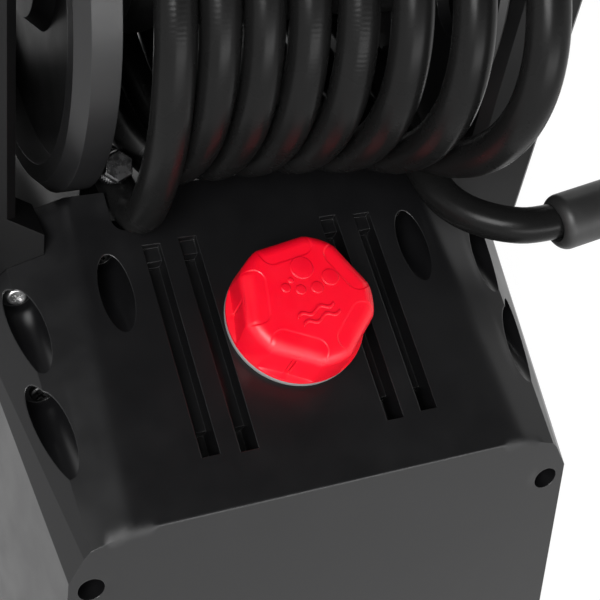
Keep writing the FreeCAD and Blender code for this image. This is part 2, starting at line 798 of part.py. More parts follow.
def make_filler():
    """The grey gasket on the deck, the cap's seal and the ribbed cap itself, on the neck's axis."""
    rim = ["cap_y", "cap_z"]
    turned("tank_gasket", [("seat_gap", "neck_radius + seat_gap"), ("seat_gap", "gasket_radius"),
                           ("gasket_tall - 0.8", "gasket_radius"),
                           ("gasket_tall", "gasket_radius - 0.8"),
                           ("gasket_tall", "neck_radius + seat_gap")], deck=rim)
    seat = "neck_tall + seat_gap"
    turned("cap_seal", [(seat, "0"), (seat, "neck_radius - seat_gap"),
                        (f"{seat} + seal_tall", "neck_radius - seat_gap"),
                        (f"{seat} + seal_tall", "0")], deck=rim)
    low = "gasket_tall + cap_lift"
    roof = f"{seat} + seal_tall + seat_gap"
    high = "gasket_tall + cap_tall"
    cap = turned("soap_cap", [(low, "neck_radius + 2 * seat_gap"), (low, "cap_radius"),
                              (f"{high} - cap_round", "cap_top_radius + 0.8"),
                              (f"{high} - cap_round / 3", "cap_top_radius - cap_round / 3"),
                              (high, "cap_top_radius - cap_round"), (high, "0"), (roof, "0"),
                              (roof, "neck_radius + 2 * seat_gap")], deck=rim)
    grip = [(low, "cap_radius - cap_grip_depth"),
            (f"{high} - cap_round", "cap_top_radius + 0.8 - cap_grip_depth"),
            (f"{high} - cap_round", "2 * cap_radius"), (low, "2 * cap_radius")]
    around(cap, [groove_middle(cap, grip, "cap_grip_sweep")], "cap_grips")
    groove = [(low, "cap_radius - 2 * cap_grip_depth"),
              (f"{high} - 1.4 * cap_round", "cap_top_radius + 1.2 - 2 * cap_grip_depth"),
              (f"{high} - 1.4 * cap_round", "2 * cap_radius"), (low, "2 * cap_radius")]
    around(cap, [cut_middle(cap, groove, "cap_groove_half")], "cap_grips")
    spin = FreeCAD.Rotation(V(1, 0, 0), size("cap_first_grip"))
    cap.Placement = cap.Placement.multiply(FreeCAD.Placement(V(0, 0, 0), spin))
    return cap


def groove_middle(body, outline, sweep_angle):
    """A groove turned about a body's own axis, as far to each side of its middle plane."""
    feature = body.newObject("PartDesign::Groove", body.Label + "_grip")
    feature.Profile = add_sketch(body, "XY", [outline])
    feature.ReferenceAxis = (feature.Profile[0], ["H_Axis"])
    feature.Midplane = True
    bind(feature, Angle=sweep_angle)
    return feature


def cut_middle(body, outline, half):
    """A pocket of this half width about a turned body's own middle plane."""
    feature = body.newObject("PartDesign::Pocket", body.Label + "_grip")
    feature.Profile = add_sketch(body, "XY", [outline])
    feature.Midplane = True
    bind(feature, Length=f"2 * {half}")
    return feature


def side(sign, text):
    """The expression on the right side, or mirrored to the left."""
    return text if sign > 0 else f"-({text})"


def across(sign, low, high):
    """Two places along X in rising order, mirrored where the side is the left one."""
    return (low, high) if sign > 0 else (f"-({high})", f"-({low})")


def arm_outline(margin, low):
    """The side view of an arm, drawn in by a margin, with its own lower edge."""
    return [(f"arm_front_y + {margin}", low),
            (f"arm_front_y + {margin}", f"arm_shoulder_z - 0.3 * {margin}"),
            (f"arm_brow_y + 0.6 * {margin}", f"arm_top_z - arm_wall * 2.7 - 0.8 * {margin}"),
            (f"arm_brow_y + 26 + 0.2 * {margin}", f"arm_top_z - {margin}"),
            (f"arm_back_y - 8 - 0.4 * {margin}", f"arm_top_z - {margin}"),
            (f"arm_back_y - {margin}", f"arm_top_z - 8 - 0.4 * {margin}"),
            (f"arm_back_y - {margin}", low)]


def make_arm(label, sign):
    """A hollow side arm that stands on the deck's shoulder and on the bay floor."""
    body = new_body(label)
    low, high = across(sign, "arm_inner", "arm_outer")
    outline = arm_outline("0", "arm_base_z")
    front_low = [("deck_back_y + seat_gap", "arm_base_z"), ("deck_back_y + seat_gap", "arm_low_z"),
                 ("arm_front_y", "arm_low_z")]
    pad(body, "YZ", [front_low + outline[1:]], low, high)
    soften(body, "arm_bevel", is_arm_front_edge, "Chamfer")
    flare = [(side(sign, "arm_inner + arm_bevel"), "foot_flare_top_z"),
             (side(sign, "arm_inner - foot_flare"), "foot_flare_low_z"),
             (side(sign, "arm_inner - foot_flare"), "arm_low_z"),
             (side(sign, "arm_inner + arm_bevel"), "arm_low_z")]
    pad(body, "XZ", [flare], "arm_front_y", "deck_back_y + seat_gap")
    arch = box_outline("well_front_y", "arm_back_y + wall", "arm_base_z - wall", "arch_z")
    cut(body, "YZ", [arch], *across(sign, "well_half + seat_gap", "arm_outer + wall"))
    mouth = arm_outline("cover_margin", "cavity_low_z - wall")
    cut(body, "YZ", [mouth], *across(sign, "arm_outer - cover_thick - seat_gap", "arm_outer + wall"))
    cavity = arm_outline("(cover_margin + wall)", "cavity_low_z")
    cut(body, "YZ", [cavity], *across(sign, "arm_inner + arm_wall", "arm_outer"))
    cut(body, "YZ", [("reel_y", "reel_z", "bush_radius + seat_gap")],
        *across(sign, "arm_inner - wall", "arm_inner + 2 * wall"))
    tube = [(side(sign, "handle_x"), "handle_y", "handle_outer_radius + handle_gap")]
    cut(body, "XY", [tube[0]], "handle_bottom_z - seat_gap", "arm_top_z + wall")
    subtract_deck(body)
    return body


def is_arm_front_edge(edge):
    """The long edges of an arm's front, brow and top, on both of its faces."""
    middle = edge.valueAt((edge.FirstParameter + edge.LastParameter) / 2)
    direction = edge.tangentAt(edge.FirstParameter)
    in_side_view = abs(direction.x) < 0.01
    forward = middle.y < size("arm_brow_y + 10") and middle.z > size("arm_low_z + 1")
    return in_side_view and forward and edge.Length > size("arm_bevel * 3")


def subtract_deck(body):
    """Cut the front housing's outer form, grown by the seat's gap, out of a body."""
    form = doc.addObject("PartDesign::Body", body.Label + "_seat")
    side_view = [("seam_front_y", "seam_z"), ("deck_back_y + seat_gap", "seam_z"),
                 ("deck_back_y + seat_gap", "deck_back_z + seat_gap"),
                 ("face_top_y", "face_top_z + seat_gap")]
    pad(form, "YZ", [side_view], "-base_half_back - wall", "base_half_back + wall")
    trim_sides(form, "seat_gap")
    feature = body.newObject("PartDesign::Boolean", body.Label + "_fit")
    feature.setObjects([form])
    feature.Type = "Cut"
    return feature


def make_arm_cover(label, sign):
    """The flat cover let into an arm's outer face."""
    body = new_body(label)
    outline = arm_outline("(cover_margin + seat_gap)", "cavity_low_z - wall + seat_gap")
    pad(body, "YZ", [outline], *across(sign, "arm_outer - cover_thick", "arm_outer"))
    if sign < 0:
        cut(body, "YZ", [("reel_y", "reel_z", "axle_radius + 2")],
            *across(sign, "arm_outer - 2 * cover_thick", "arm_outer + cover_thick"))
    return body


def make_bridge():
    """The hollow bridge over the reel: the handle's tubes run through its ends."""
    body = new_body("top_bridge")
    pad(body, "YZ", [box_outline("bridge_front_y", "arm_back_y", "bridge_z", "bridge_top_z")],
        "-arm_outer", "arm_outer")
    soften(body, "2 * arm_bevel", is_bridge_end_edge)
    inside = box_outline("bridge_front_y + bay_wall", "arm_back_y - bay_wall", "bridge_z - wall",
                         "bridge_top_z - bay_wall")
    cut(body, "YZ", [inside], "-arm_inner", "arm_inner")
    tubes = [(side(sign, "handle_x"), "handle_y", "handle_outer_radius + handle_gap")
             for sign in (1, -1)]
    cut(body, "XY", tubes, "bridge_z - wall", "bridge_top_z + wall")
    cut(body, "XZ", [("0", "switch_z", "switch_stem + running_gap")], "bridge_front_y - wall",
        "bridge_front_y + 2 * bay_wall")
    return body


def is_bridge_end_edge(edge):
    """The bridge's top edges front and back, and its upright corners."""
    middle = edge.valueAt((edge.FirstParameter + edge.LastParameter) / 2)
    top = near(middle.z, "bridge_top_z") and near(middle.x, "0")
    ends = near(abs(middle.x), "arm_outer") and near(middle.z, "bridge_z + bridge_tall / 2")
    return top or ends


def make_switch():
    """The turning switch on the bridge's front, with a pointer rib and a stem into the wall."""
    face = "switch_tall + seat_gap"
    knob = turned("switch_knob", [("seat_gap", "0"), ("seat_gap", "switch_radius"),
                                  (f"{face} - 3", "switch_radius - 1"), (face, "switch_radius - 4"),
                                  (face, "0")])
    pad(knob, "YZ", [("0", "0", "switch_stem")], "-bay_wall", "seat_gap + 1")
    rib = box_outline("-2.5", "2.5", "-switch_radius + 3", "switch_radius + 2")
    pad(knob, "YZ", [rib], "seat_gap + 3", "switch_tall + 4")
    turn = FreeCAD.Rotation(V(0, 0, 1), -90)
    knob.Placement = FreeCAD.Placement(V(0, size("bridge_front_y"), size("switch_z")), turn)
    bind(knob, Placement__Base__y="bridge_front_y", Placement__Base__z="switch_z")
    return knob


def make_reel():
    """The drum between its flanges, the hollow axle, the bushes, the crank and the inner hose."""
    at = ("reel_y", "reel_z")
    free = "axle_radius + seat_gap"
    rim = "drum_radius - drum_wall"
    left, right = "flange_left_x", "flange_right_x"
    turned("reel_drum", [(left, free), (left, "drum_radius"), (right, "drum_radius"), (right, free),
                         (f"{right} - bay_wall", free), (f"{right} - bay_wall", rim),
                         (f"{left} + bay_wall", rim), (f"{left} + bay_wall", free)], *at)
    turned("hose_core", [(f"{left} + seat_gap", "drum_radius + seat_gap"),
                         (f"{left} + seat_gap", "core_radius"), (f"{right} - seat_gap", "core_radius"),
                         (f"{right} - seat_gap", "drum_radius + seat_gap")], *at)
    inner = f"{left} - seat_gap"
    outer = f"{left} - flange_left_thick"
    rim_low = "flange_radius - 4 * wall"
    turned("left_flange", [(inner, free), (inner, "flange_radius"),
                                   (f"{outer} + flange_bevel", "flange_radius"),
                                   (outer, "flange_radius - flange_bevel"), (outer, rim_low),
                                   (f"{inner} - 2 * wall", rim_low), (f"{inner} - 2 * wall", "drum_radius"),
                                   (f"{outer} + wall", "drum_radius - 2 * wall"),
                                   (f"{outer} + wall", free)], *at)
    inner = f"{right} + seat_gap"
    outer = f"{right} + flange_right_thick"
    wheel = turned("right_flange", [(inner, free), (inner, "flange_radius"),
                                    (f"{outer} - 2", "flange_radius"), (outer, "flange_radius - 2"),
                                    (outer, free)], *at)
    ring_windows(wheel, inner, outer)
    rod("reel_axle", "-arm_outer - crank_gap - crank_thick", "arm_inner + arm_wall + 3 * wall",
        "axle_radius", *at, bore="axle_bore")
    for name, sign in (("left_bush", -1), ("right_bush", 1)):
        lip = side(sign, "arm_inner - seat_gap - bush_lip_thick")
        wall = side(sign, "arm_inner - seat_gap")
        end = side(sign, "arm_inner + arm_wall + wall")
        turned(name, [(lip, "axle_radius + running_gap"), (lip, "bush_lip"), (wall, "bush_lip"),
                      (wall, "bush_radius"), (end, "bush_radius"),
                      (end, "axle_radius + running_gap")], *at)
    make_crank()


def ring_windows(body, low, high):
    """Round windows in a flange, in a ring about its axis."""
    opening = cut(body, "YZ", [("flange_window_ring", "0", "flange_window_radius")],
                  f"({low}) - wall", f"({high}) + wall")
    around(body, [opening], "flange_windows")


def make_crank():
    """The crank outside the left arm, with its pin, and the knob that spins on the pin."""
    arm = new_body("crank_arm")
    near_x = "-arm_outer - crank_gap"
    far_x = f"{near_x} - crank_thick"
    bar = box_outline("-crank_half", "crank_half", "0", "crank_reach")
    pad(arm, "YZ", [bar], far_x, near_x)
    for place, radius in (("0", "crank_half + 5"), ("crank_reach", "crank_half + 1")):
        pad(arm, "YZ", [("0", place, radius)], far_x, near_x)
    pad(arm, "YZ", [("0", "crank_reach", "crank_pin_radius")], "-side_reach + 2", f"{far_x} + 1")
    cut(arm, "YZ", [("0", "0", "axle_radius + running_gap")], f"{far_x} - 1", f"{near_x} + 1")
    bind(arm, Placement__Base__y="reel_y", Placement__Base__z="reel_z")
    outer = "-side_reach"
    inner = f"{far_x} - seat_gap"
    turned("crank_knob", [(outer, "0"), (outer, "crank_knob_radius - 3"),
                          (f"{outer} + 3", "crank_knob_radius"),
                          (f"{inner} - 6", "crank_knob_radius - 1.5"), (inner, "crank_knob_radius - 4"),
                          (inner, "crank_pin_radius + running_gap"),
                          (f"{outer} + 2 - seat_gap", "crank_pin_radius + running_gap"),
                          (f"{outer} + 2 - seat_gap", "0")], "reel_y", "reel_z + crank_reach")


def route_shape(points, radius, bends, bore=None):
    """A round tube along straight runs that are joined by tangent arcs of the given radii."""
    edges = []
    start = points[0]
    for k in range(1, len(points) - 1):
        into = (points[k] - points[k - 1]).normalize()
        out = (points[k + 1] - points[k]).normalize()
        half_turn = into.getAngle(out) / 2
        reach = bends[k - 1] * math.tan(half_turn)
        first = points[k] - into * reach
        last = points[k] + out * reach
        inward = (out - into).normalize()
        middle = points[k] + inward * (bends[k - 1] / math.cos(half_turn) - bends[k - 1])
        edges += [Part.makeLine(start, first), Part.Arc(first, middle, last).toShape()]
        start = last
    edges.append(Part.makeLine(start, points[-1]))
    wire = Part.Wire(edges)
    shape = sweep(wire, points[0], (points[1] - points[0]), radius)
    if bore:
        shape = shape.cut(sweep(wire, points[0], (points[1] - points[0]), bore))
    return shape, wire.Length


def sweep(wire, start, direction, radius):
    """A round section carried along a wire."""
    circle = Part.Wire([Part.makeCircle(radius, start, direction)])
    shell = Part.BRepOffsetAPI.MakePipeShell(wire)
    shell.add(circle)
    shell.build()
    shell.makeSolid()
    return shell.shape()


def soft_bends(points):
    """The largest bend at each corner that leaves straight pieces between the arcs."""
    radii = []
    for k in range(1, len(points) - 1):
        into = points[k] - points[k - 1]
        out = points[k + 1] - points[k]
        shorter = min(into.Length, out.Length)
        radii.append(0.45 * shorter / math.tan(into.getAngle(out) / 2))
    return radii


def coil_point(turn):
    """Centre of the hose at a turn in degrees: an oval that grows to the right."""
    share = min(max(turn / (360 * COIL["coil_turns"]), 0), 1)
    grown = share ** COIL["coil_blend"]
    value = {}
    for name in ("y", "z", "front", "back", "rise", "drop"):
        left = COIL[f"coil_left_{name}"]
        value[name] = left + (COIL[f"coil_right_{name}"] - left) * grown
    cos = math.cos(math.radians(turn))
    sin = math.sin(math.radians(turn))
    reach = value["front"] if cos > 0 else value["back"]
    tall = value["rise"] if sin > 0 else value["drop"]
    x = COIL["coil_first_x"] + COIL["coil_pitch"] * turn / 360
    return V(x, value["y"] - reach * cos, value["z"] + tall * sin)


def biarc(first, heading, last, goal):
    """Two arcs through both ends, tangent to both headings, as edges."""
    chord = last - first
    both = heading + goal
    across_both = 2 * (1 - heading.dot(goal))
    along = chord.dot(both)
    root = math.sqrt(along ** 2 + across_both * chord.dot(chord))
    reach = (root - along) / across_both
    joint = (first + last + (heading - goal) * reach) / 2
    turn = (joint - first - heading * reach).normalize()
    edges = []
    for near_end, away, far_end in ((first, heading, joint), (joint, turn, last)):
        edges.append(arc_from(near_end, away, far_end))
    return edges


def arc_from(first, heading, last):
    """The arc that leaves the first point along a heading and ends at the last."""
    chord = last - first
    angle = heading.getAngle(chord)
    across_chord = (chord.normalize() * heading.dot(chord) - heading).normalize()
    length = first.distanceToPoint(last)
    rise = length / 2 * math.tan(angle / 2)
    middle = (first + last) / 2 - across_chord * rise
    return Part.Arc(first, middle, last).toShape()


COIL = {name: size(name) for name in SIZES if name.startswith("coil_")}


def make_hose():
    """The hose: loops round the reel, the loose end over the deck, its sleeve and end fitting."""
    steps = [90 * k for k in range(round(4 * COIL["coil_turns"]) + 1)]
    spots = [coil_point(turn) for turn in steps]
    headings = [(coil_point(turn + 0.5) - coil_point(turn - 0.5)).normalize() for turn in steps]
    headings[-1] = V(0, -1, 0)
    lean = math.radians(size("hose_rise_lean"))
    start_x = size("notch_x")
    rise_x = (start_x + spots[0].x) / 2
    spots = [V(start_x, size("hose_start_y"), size("hose_low_z")),
             V(start_x, size("hose_low_y"), size("hose_low_z")),
             V(rise_x, size("hose_rise_y"), size("hose_rise_z"))] + spots
    headings = [V(0, -1, 0), V(0, -1, 0), V(0, -math.sin(lean), math.cos(lean))] + headings
    edges = []
    edges.append(Part.makeLine(spots[0], spots[1]))
    for k in range(1, len(spots) - 1):
        edges += biarc(spots[k], headings[k], spots[k + 1], headings[k + 1])
    wire = Part.Wire(edges)
    radius = size("hose_radius")
    coil = shape_part("hose_coil", sweep(wire, spots[0], headings[0], radius))
    samples = wire.discretize(Distance=4)
    gap = least_gap(samples, 2 * radius)
    print("coil length", round(wire.Length), "volume / section x length",
          round(coil.Shape.Volume / (math.pi * radius ** 2 * wire.Length), 4), "least gap", round(gap, 2))
    print("coil tightest arc", round(min(edge.Curve.Radius for edge in edges[1:]), 1))
    make_elbow(spots[0], headings[0])
    make_loose_end(spots[-1])


def least_gap(samples, diameter):
    """The least space between two places of a tube that lie more than a few turns of wire apart."""
    apart = 12
    best = math.inf
    for k, here in enumerate(samples):
        for there in samples[k + apart:]:
            best = min(best, here.distanceToPoint(there))
    return best - diameter


def make_elbow(start, heading):
    """The outlet elbow behind the lip, with its boss, and the ringed hex nut on the boss."""
    seat = size("seat_gap")
    stub_low = V(start.x, size("outlet_y"), size("elbow_low_z"))
    knee = start - heading * ((start.y - size("outlet_y")) / heading.y)
    bend = size("elbow_radius") + size("elbow_inner_bend")
    body, _ = route_shape([stub_low, knee, start - heading * seat / 2], size("elbow_radius"), [bend])
    toward = V(*NUT_AXIS).normalize()
    nut = V(size("nut_x"), size("nut_y"), size("nut_z"))
    ring_end = nut - toward * (size("nut_tall") / 2 + size("ring_tall"))
    boss = size("boss_radius")
    corner = ring_end - toward * boss * 2
    low = V(corner.x, size("outlet_y") - boss, corner.z + boss)
    ends = [knee, low, corner, ring_end - toward * seat]
    branch, _ = route_shape(ends, boss, soft_bends(ends))
    bore = size("outlet_radius") + size("running_gap")
    body = body.fuse(branch).cut(Part.makeCylinder(bore, size("wall") * 4, stub_low - V(0, 0, 1)))
    shape_part("hose_elbow", body.removeSplitter())
    ring = Part.makeCylinder(size("ring_radius"), size("ring_tall"), ring_end, toward)
    ring = ring.makeChamfer(0.8, [edge for edge in ring.Edges if len(edge.Vertexes) == 1])
    hexagon = hex_prism(ring_end + toward * size("ring_tall"), toward, size("nut_flat"),
                        size("nut_tall"))
    shape_part("hose_nut", ring.fuse(hexagon))


NUT_AXIS = (0, -0.78, 0.62)


def hex_prism(base, axis, flat, tall):
    """A six-sided bar with its corners bevelled at the free end."""
    turn = FreeCAD.Rotation(V(0, 0, 1), axis)
    reach = flat / math.cos(math.radians(30))
    corners = [base + turn.multVec(V(reach * math.cos(math.radians(60 * k)),
                                     reach * math.sin(math.radians(60 * k)), 0)) for k in range(7)]
    prism = Part.Face(Part.makePolygon(corners)).extrude(axis * tall)
    cone = Part.makeCone(reach + tall - 0.9, reach - 0.9, tall, base, axis)
    return prism.common(cone)


def make_loose_end(start):
    """The free hose over the lip and past the right arm, then the sleeve and the fitting."""
    points = [start] + [V(*point) for point in LOOSE_ROUTE]
    radii = soft_bends(points)
    radius = size("hose_radius")
    shape, length = route_shape(points, radius, radii)
    hose = shape_part("hose_free", shape)
    print("loose length", round(length), "radii", [round(r) for r in radii],
          "volume / section x length", round(hose.Shape.Volume / (math.pi * radius ** 2 * length), 4))
    end = points[-1]
    away = (end - points[-2]).normalize()
    seat = size("seat_gap")
    sleeve_from = end - away * size("sleeve_start + sleeve_long / 2")
    sleeve = Part.makeCylinder(size("sleeve_radius"), size("sleeve_long"), sleeve_from, away)
    sleeve = sleeve.makeFillet(3, [edge for edge in sleeve.Edges if len(edge.Vertexes) == 1])
    sleeve = sleeve.cut(Part.makeCylinder(radius + size("running_gap"), size("sleeve_long"),
                                          sleeve_from - away, away))
    shape_part("hose_sleeve", sleeve)
    far = sleeve_from + away * (size("sleeve_long") + seat)
    body = Part.makeCylinder(size("fitting_radius"), size("fitting_long"), far, away)
    body = body.fuse(hex_prism(far, away, size("fitting_radius") + 1, size("fitting_long") / 3))
    groove = Part.makeCylinder(2 * size("fitting_radius"), 3, far + away * size("fitting_long * 0.6"),
                               away)
    core = Part.makeCylinder(size("fitting_radius") - 1.5, size("fitting_long"), far, away)
    body = body.cut(groove.cut(core))
    bore = Part.makeCylinder(size("axle_bore") / 2, 2 * size("fitting_long"), far - away * 5, away)
    shape_part("hose_end_fitting", body.cut(bore))


LOOSE_ROUTE = [(74.7, -7, 219.8), (74.4, -26, 213), (73.8, -46, 206.5), (78.5, -65, 200.8),
               (91.5, -81, 201.5), (111, -89.5, 203.5), (153, -87, 209.5)]


def make_wheel(label, sign):
    """A wheel: a grooved tyre on a windowed hub."""
    inner = side(sign, "wheel_inner")
    outer = side(sign, "wheel_inner + wheel_width")
    step = "1" if sign > 0 else "-1"
    at = ("axle_y", "wheel_radius")
    tyre = turned(label + "_tyre", [(inner, "hub_radius + seat_gap"), (inner, "wheel_radius - 8"),
                                    (f"{inner} + {step} * 4", "wheel_radius"),
                                    (f"{outer} - {step} * 4", "wheel_radius"),
                                    (outer, "wheel_radius - 8"), (outer, "hub_radius + seat_gap")], *at)
    low, high = across(sign, "wheel_inner", "wheel_inner + wheel_width")
    tread = box_outline("-tread_half", "tread_half", "wheel_radius - tread_depth",
                        "wheel_radius + wall")
    groove = cut(tyre, "YZ", [tread], f"{low} - 1", f"{high} + 1")
    around(tyre, [groove], "tread_grooves")
    middle = f"{inner} + {step} * wheel_width / 2"
    rim = "hub_radius - 6"
    nave = "wheel_axle_radius + 10"
    hub = turned(label + "_hub", [(inner, "wheel_axle_radius + running_gap"), (inner, nave),
                                  (f"{middle} - {step} * 3", nave), (f"{middle} - {step} * 3", rim),
                                  (inner, rim), (inner, "hub_radius"), (outer, "hub_radius"),
                                  (outer, rim), (f"{middle} + {step} * 3", rim),
                                  (f"{middle} + {step} * 3", nave), (outer, nave),
                                  (outer, "wheel_axle_radius + running_gap")], *at)
    window = cut(hub, "YZ", [("hub_window_ring", "0", "hub_window_radius")], low, high)
    around(hub, [window], "hub_windows")


def make_wheel_axle():
    """The wheel axle, with a cap on each end outside the wheels."""
    end = "wheel_inner + wheel_width + seat_gap"
    radius = "wheel_axle_radius"
    turned("wheel_axle", [(f"-({end}) - 5", "0"), (f"-({end}) - 5", "radius_cap - 3"),
                          (f"-({end}) - 2", "radius_cap"), (f"-({end})", "radius_cap"),
                          (f"-({end})", radius), (end, radius), (end, "radius_cap"),
                          (f"{end} + 2", "radius_cap"), (f"{end} + 5", "radius_cap - 3"),
                          (f"{end} + 5", "0")], "axle_y", "wheel_radius")


def make_drive():
    """Motor can, rotor shaft and fan, then the pump with its head, valve and water lines."""
    at = ("motor_y", "motor_z")
    hole = "shaft_radius + running_gap"
    left, right = "motor_left_x", "motor_right_x"
    inside = "motor_radius - motor_wall"
    can = turned("motor_can", [(left, hole), (left, "motor_radius"), (right, "motor_radius"),
                               (right, hole), (f"{right} - motor_wall", hole),
                               (f"{right} - motor_wall", inside), (f"{left} + motor_wall", inside),
                               (f"{left} + motor_wall", hole)], *at)
    slot = cut(can, "XY", [box_outline(f"{left} + 12", f"{left} + 34", "-1.5", "1.5")],
               "motor_radius - 2 * motor_wall", "motor_radius + motor_wall")
    around(can, [slot], "motor_slots")
    rotor = f"{right} - motor_wall - 6"
    turned("motor_shaft", [("fan_left_x - 1", "0"), ("fan_left_x - 1", "shaft_radius"),
                           (f"{left} + motor_wall + 8", "shaft_radius"),
                           (f"{left} + motor_wall + 8", "motor_radius - 14"),
                           (rotor, "motor_radius - 14"), (rotor, "shaft_radius"),
                           (f"{right} + 12", "shaft_radius"), (f"{right} + 12", "0")], *at)
    fan = turned("cooling_fan", [("fan_left_x", "shaft_radius + seat_gap"), ("fan_left_x", "fan_hub"),
                                 ("fan_right_x", "fan_hub"),
                                 ("fan_right_x", "shaft_radius + seat_gap")], *at)
    blade = pad(fan, "YZ", [[("fan_hub - 1", "-5"), ("fan_radius", "2"), ("fan_radius", "5"),
                             ("fan_hub - 1", "-2")]], "fan_left_x + 1", "fan_right_x - 1")
    around(fan, [blade], "fan_blades")
    pump_left = f"{right} + seat_gap"
    turned("pump_body", [(pump_left, hole), (pump_left, "pump_radius"), ("pump_right_x", "pump_radius"),
                         ("pump_right_x", "0"), (f"{right} + 13", "0"), (f"{right} + 13", hole)], *at)
    head = new_body("pump_head")
    block = box_outline("motor_y - head_half", "motor_y + head_half", "motor_z - head_half",
                        "motor_z + head_half")
    pad(head, "YZ", [block], "pump_right_x + seat_gap", "head_right_x")
    caps = [("motor_y + 15 * cos(120 * %d)" % k, "motor_z + 15 * sin(120 * %d)" % k, "7")
            for k in range(3)]
    pad(head, "YZ", caps, "head_right_x - 1", "head_right_x + 4")
    valve = turned("unloader_valve", [("seat_gap", "0"), ("seat_gap", "6"), ("6", "6"), ("6", "9"),
                                      ("14", "9"), ("14", "5"), ("20", "5"), ("20", "0")])
    upright = FreeCAD.Rotation(V(0, 1, 0), -90)
    top = size("motor_z + head_half")
    valve.Placement = FreeCAD.Placement(V(size("outlet_x"), size("motor_y + 22"), top), upright)
    bind(valve, Placement__Base__x="outlet_x", Placement__Base__y="motor_y + 22",
         Placement__Base__z="motor_z + head_half")
    outlet = [V(size("outlet_x"), size("outlet_y"), top + size("seat_gap")),
              V(size("outlet_x"), size("outlet_y"), size("outlet_run_z")),
              V(size("stub_x"), size("outlet_y"), size("outlet_run_z")),
              V(size("stub_x"), size("outlet_y"), size("elbow_low_z") + 8)]
    shape, _ = route_shape(outlet, size("outlet_radius"), [size("outlet_bend")] * 2, 2.5)
    shape_part("outlet_tube", shape)
    low = size("inlet_z")
    back = size("housing_back_y - 2 * wall")
    run = size("inlet_run_y")
    inlet = [V(size("inlet_x"), back, low), V(size("inlet_x"), run, low), V(size("outlet_x"), run, low),
             V(size("outlet_x"), run, low + 24),
             V(size("outlet_x"), size("motor_y + head_half + seat_gap"), low + 24)]
    shape, _ = route_shape(inlet, size("inlet_tube_radius"), [14, 14, 8, 8], 4)
    shape_part("inlet_tube", shape)
    make_back_fittings()


def make_back_fittings():
    """The garden-hose inlet and the empty cable gland at the back."""
    start = "-(housing_back_y - 2 * wall + seat_gap)"
    inlet = turned("inlet_fitting", [(start, "inlet_bore"), (start, "inlet_radius"),
                                     ("-(housing_back_y + seat_gap)", "inlet_radius"),
                                     ("-(housing_back_y + seat_gap)", "inlet_radius + 4"),
                                     ("-(housing_back_y + 4)", "inlet_radius + 4"),
                                     ("-(housing_back_y + 4)", "inlet_radius"),
                                     ("-(housing_back_y + 8)", "inlet_radius"),
                                     ("-(housing_back_y + 8)", "inlet_radius - 2.5"),
                                     ("-inlet_end_y", "inlet_radius - 2.5"),
                                     ("-inlet_end_y", "inlet_bore")])
    gland = turned("cable_gland", [("-(housing_back_y - wall)", "3.5"),
                                   ("-(housing_back_y - wall)", "gland_radius"),
                                   ("-(housing_back_y + seat_gap)", "gland_radius"),
                                   ("-(housing_back_y + seat_gap)", "gland_radius + 4"),
                                   ("-(housing_back_y + 7)", "gland_radius + 3"),
                                   ("-(housing_back_y + 16)", "gland_radius - 1"),
                                   ("-(housing_back_y + 16)", "3.5")])
    for body, x, z in ((inlet, "inlet_x", "inlet_z"), (gland, "gland_x", "gland_z")):
        body.Placement = FreeCAD.Placement(V(size(x), 0, size(z)), FreeCAD.Rotation(V(0, 0, 1), -90))
        bind(body, Placement__Base__x=x, Placement__Base__z=z)


def make_handle():
    """The two-stage telescopic handle with its grip and release button."""
    hole = "handle_inner_radius + handle_gap"
    for name, sign in (("left", -1), ("right", 1)):
        x = side(sign, "handle_x")
        outer = new_body(name + "_outer_tube")
        pad(outer, "XY", [(x, "handle_y", "handle_outer_radius")], "handle_bottom_z",
            "bridge_top_z - 2")
        cut(outer, "XY", [(x, "handle_y", hole)], "handle_bottom_z + wall", "bridge_top_z")
        inner = new_body(name + "_inner_tube")
        pad(inner, "XY", [(x, "handle_y", "handle_inner_radius")], "handle_slide_low",
            "grip_z + grip_socket")
        cut(inner, "XY", [(x, "handle_y", "handle_inner_radius - 1.5")], "handle_slide_low - 1",
            "grip_z + grip_socket - 2")
    grip = new_body("handle_grip")
    pad(grip, "YZ", [box_outline("handle_y - grip_half_depth", "handle_y + grip_half_depth", "grip_z",
                                 "grip_z + grip_tall")], "-grip_half", "grip_half")
    soften(grip, "grip_half_depth / 2", is_grip_edge)
    for sign in (1, -1):
        cut(grip, "XY", [(side(sign, "handle_x"), "handle_y", "handle_inner_radius + seat_gap")],
            "grip_z - 1", "grip_z + grip_socket + seat_gap")
    hollow_half = "button_half + seat_gap"
    well = box_outline(f"-({hollow_half})", hollow_half, "handle_y - button_half_depth - seat_gap",
                       "handle_y + button_half_depth + seat_gap")
    cut(grip, "XY", [well], "grip_z + grip_tall - button_tall - button_travel + 2",
        "grip_z + grip_tall + 1")
    button = new_body("handle_button")
    top = "grip_z + grip_tall + 2.5"
    pad(button, "XY", [box_outline("-button_half", "button_half", "handle_y - button_half_depth",
                                   "handle_y + button_half_depth")], f"{top} - button_tall", top)
    soften(button, "1.5", is_button_edge)


def is_grip_edge(edge):
    """The grip's four long edges."""
    return edge.Length > size("grip_half * 1.9")


def is_button_edge(edge):
    """The button's four top edges."""
    middle = edge.valueAt((edge.FirstParameter + edge.LastParameter) / 2)
    return near(middle.z, "grip_z + grip_tall + 2.5")


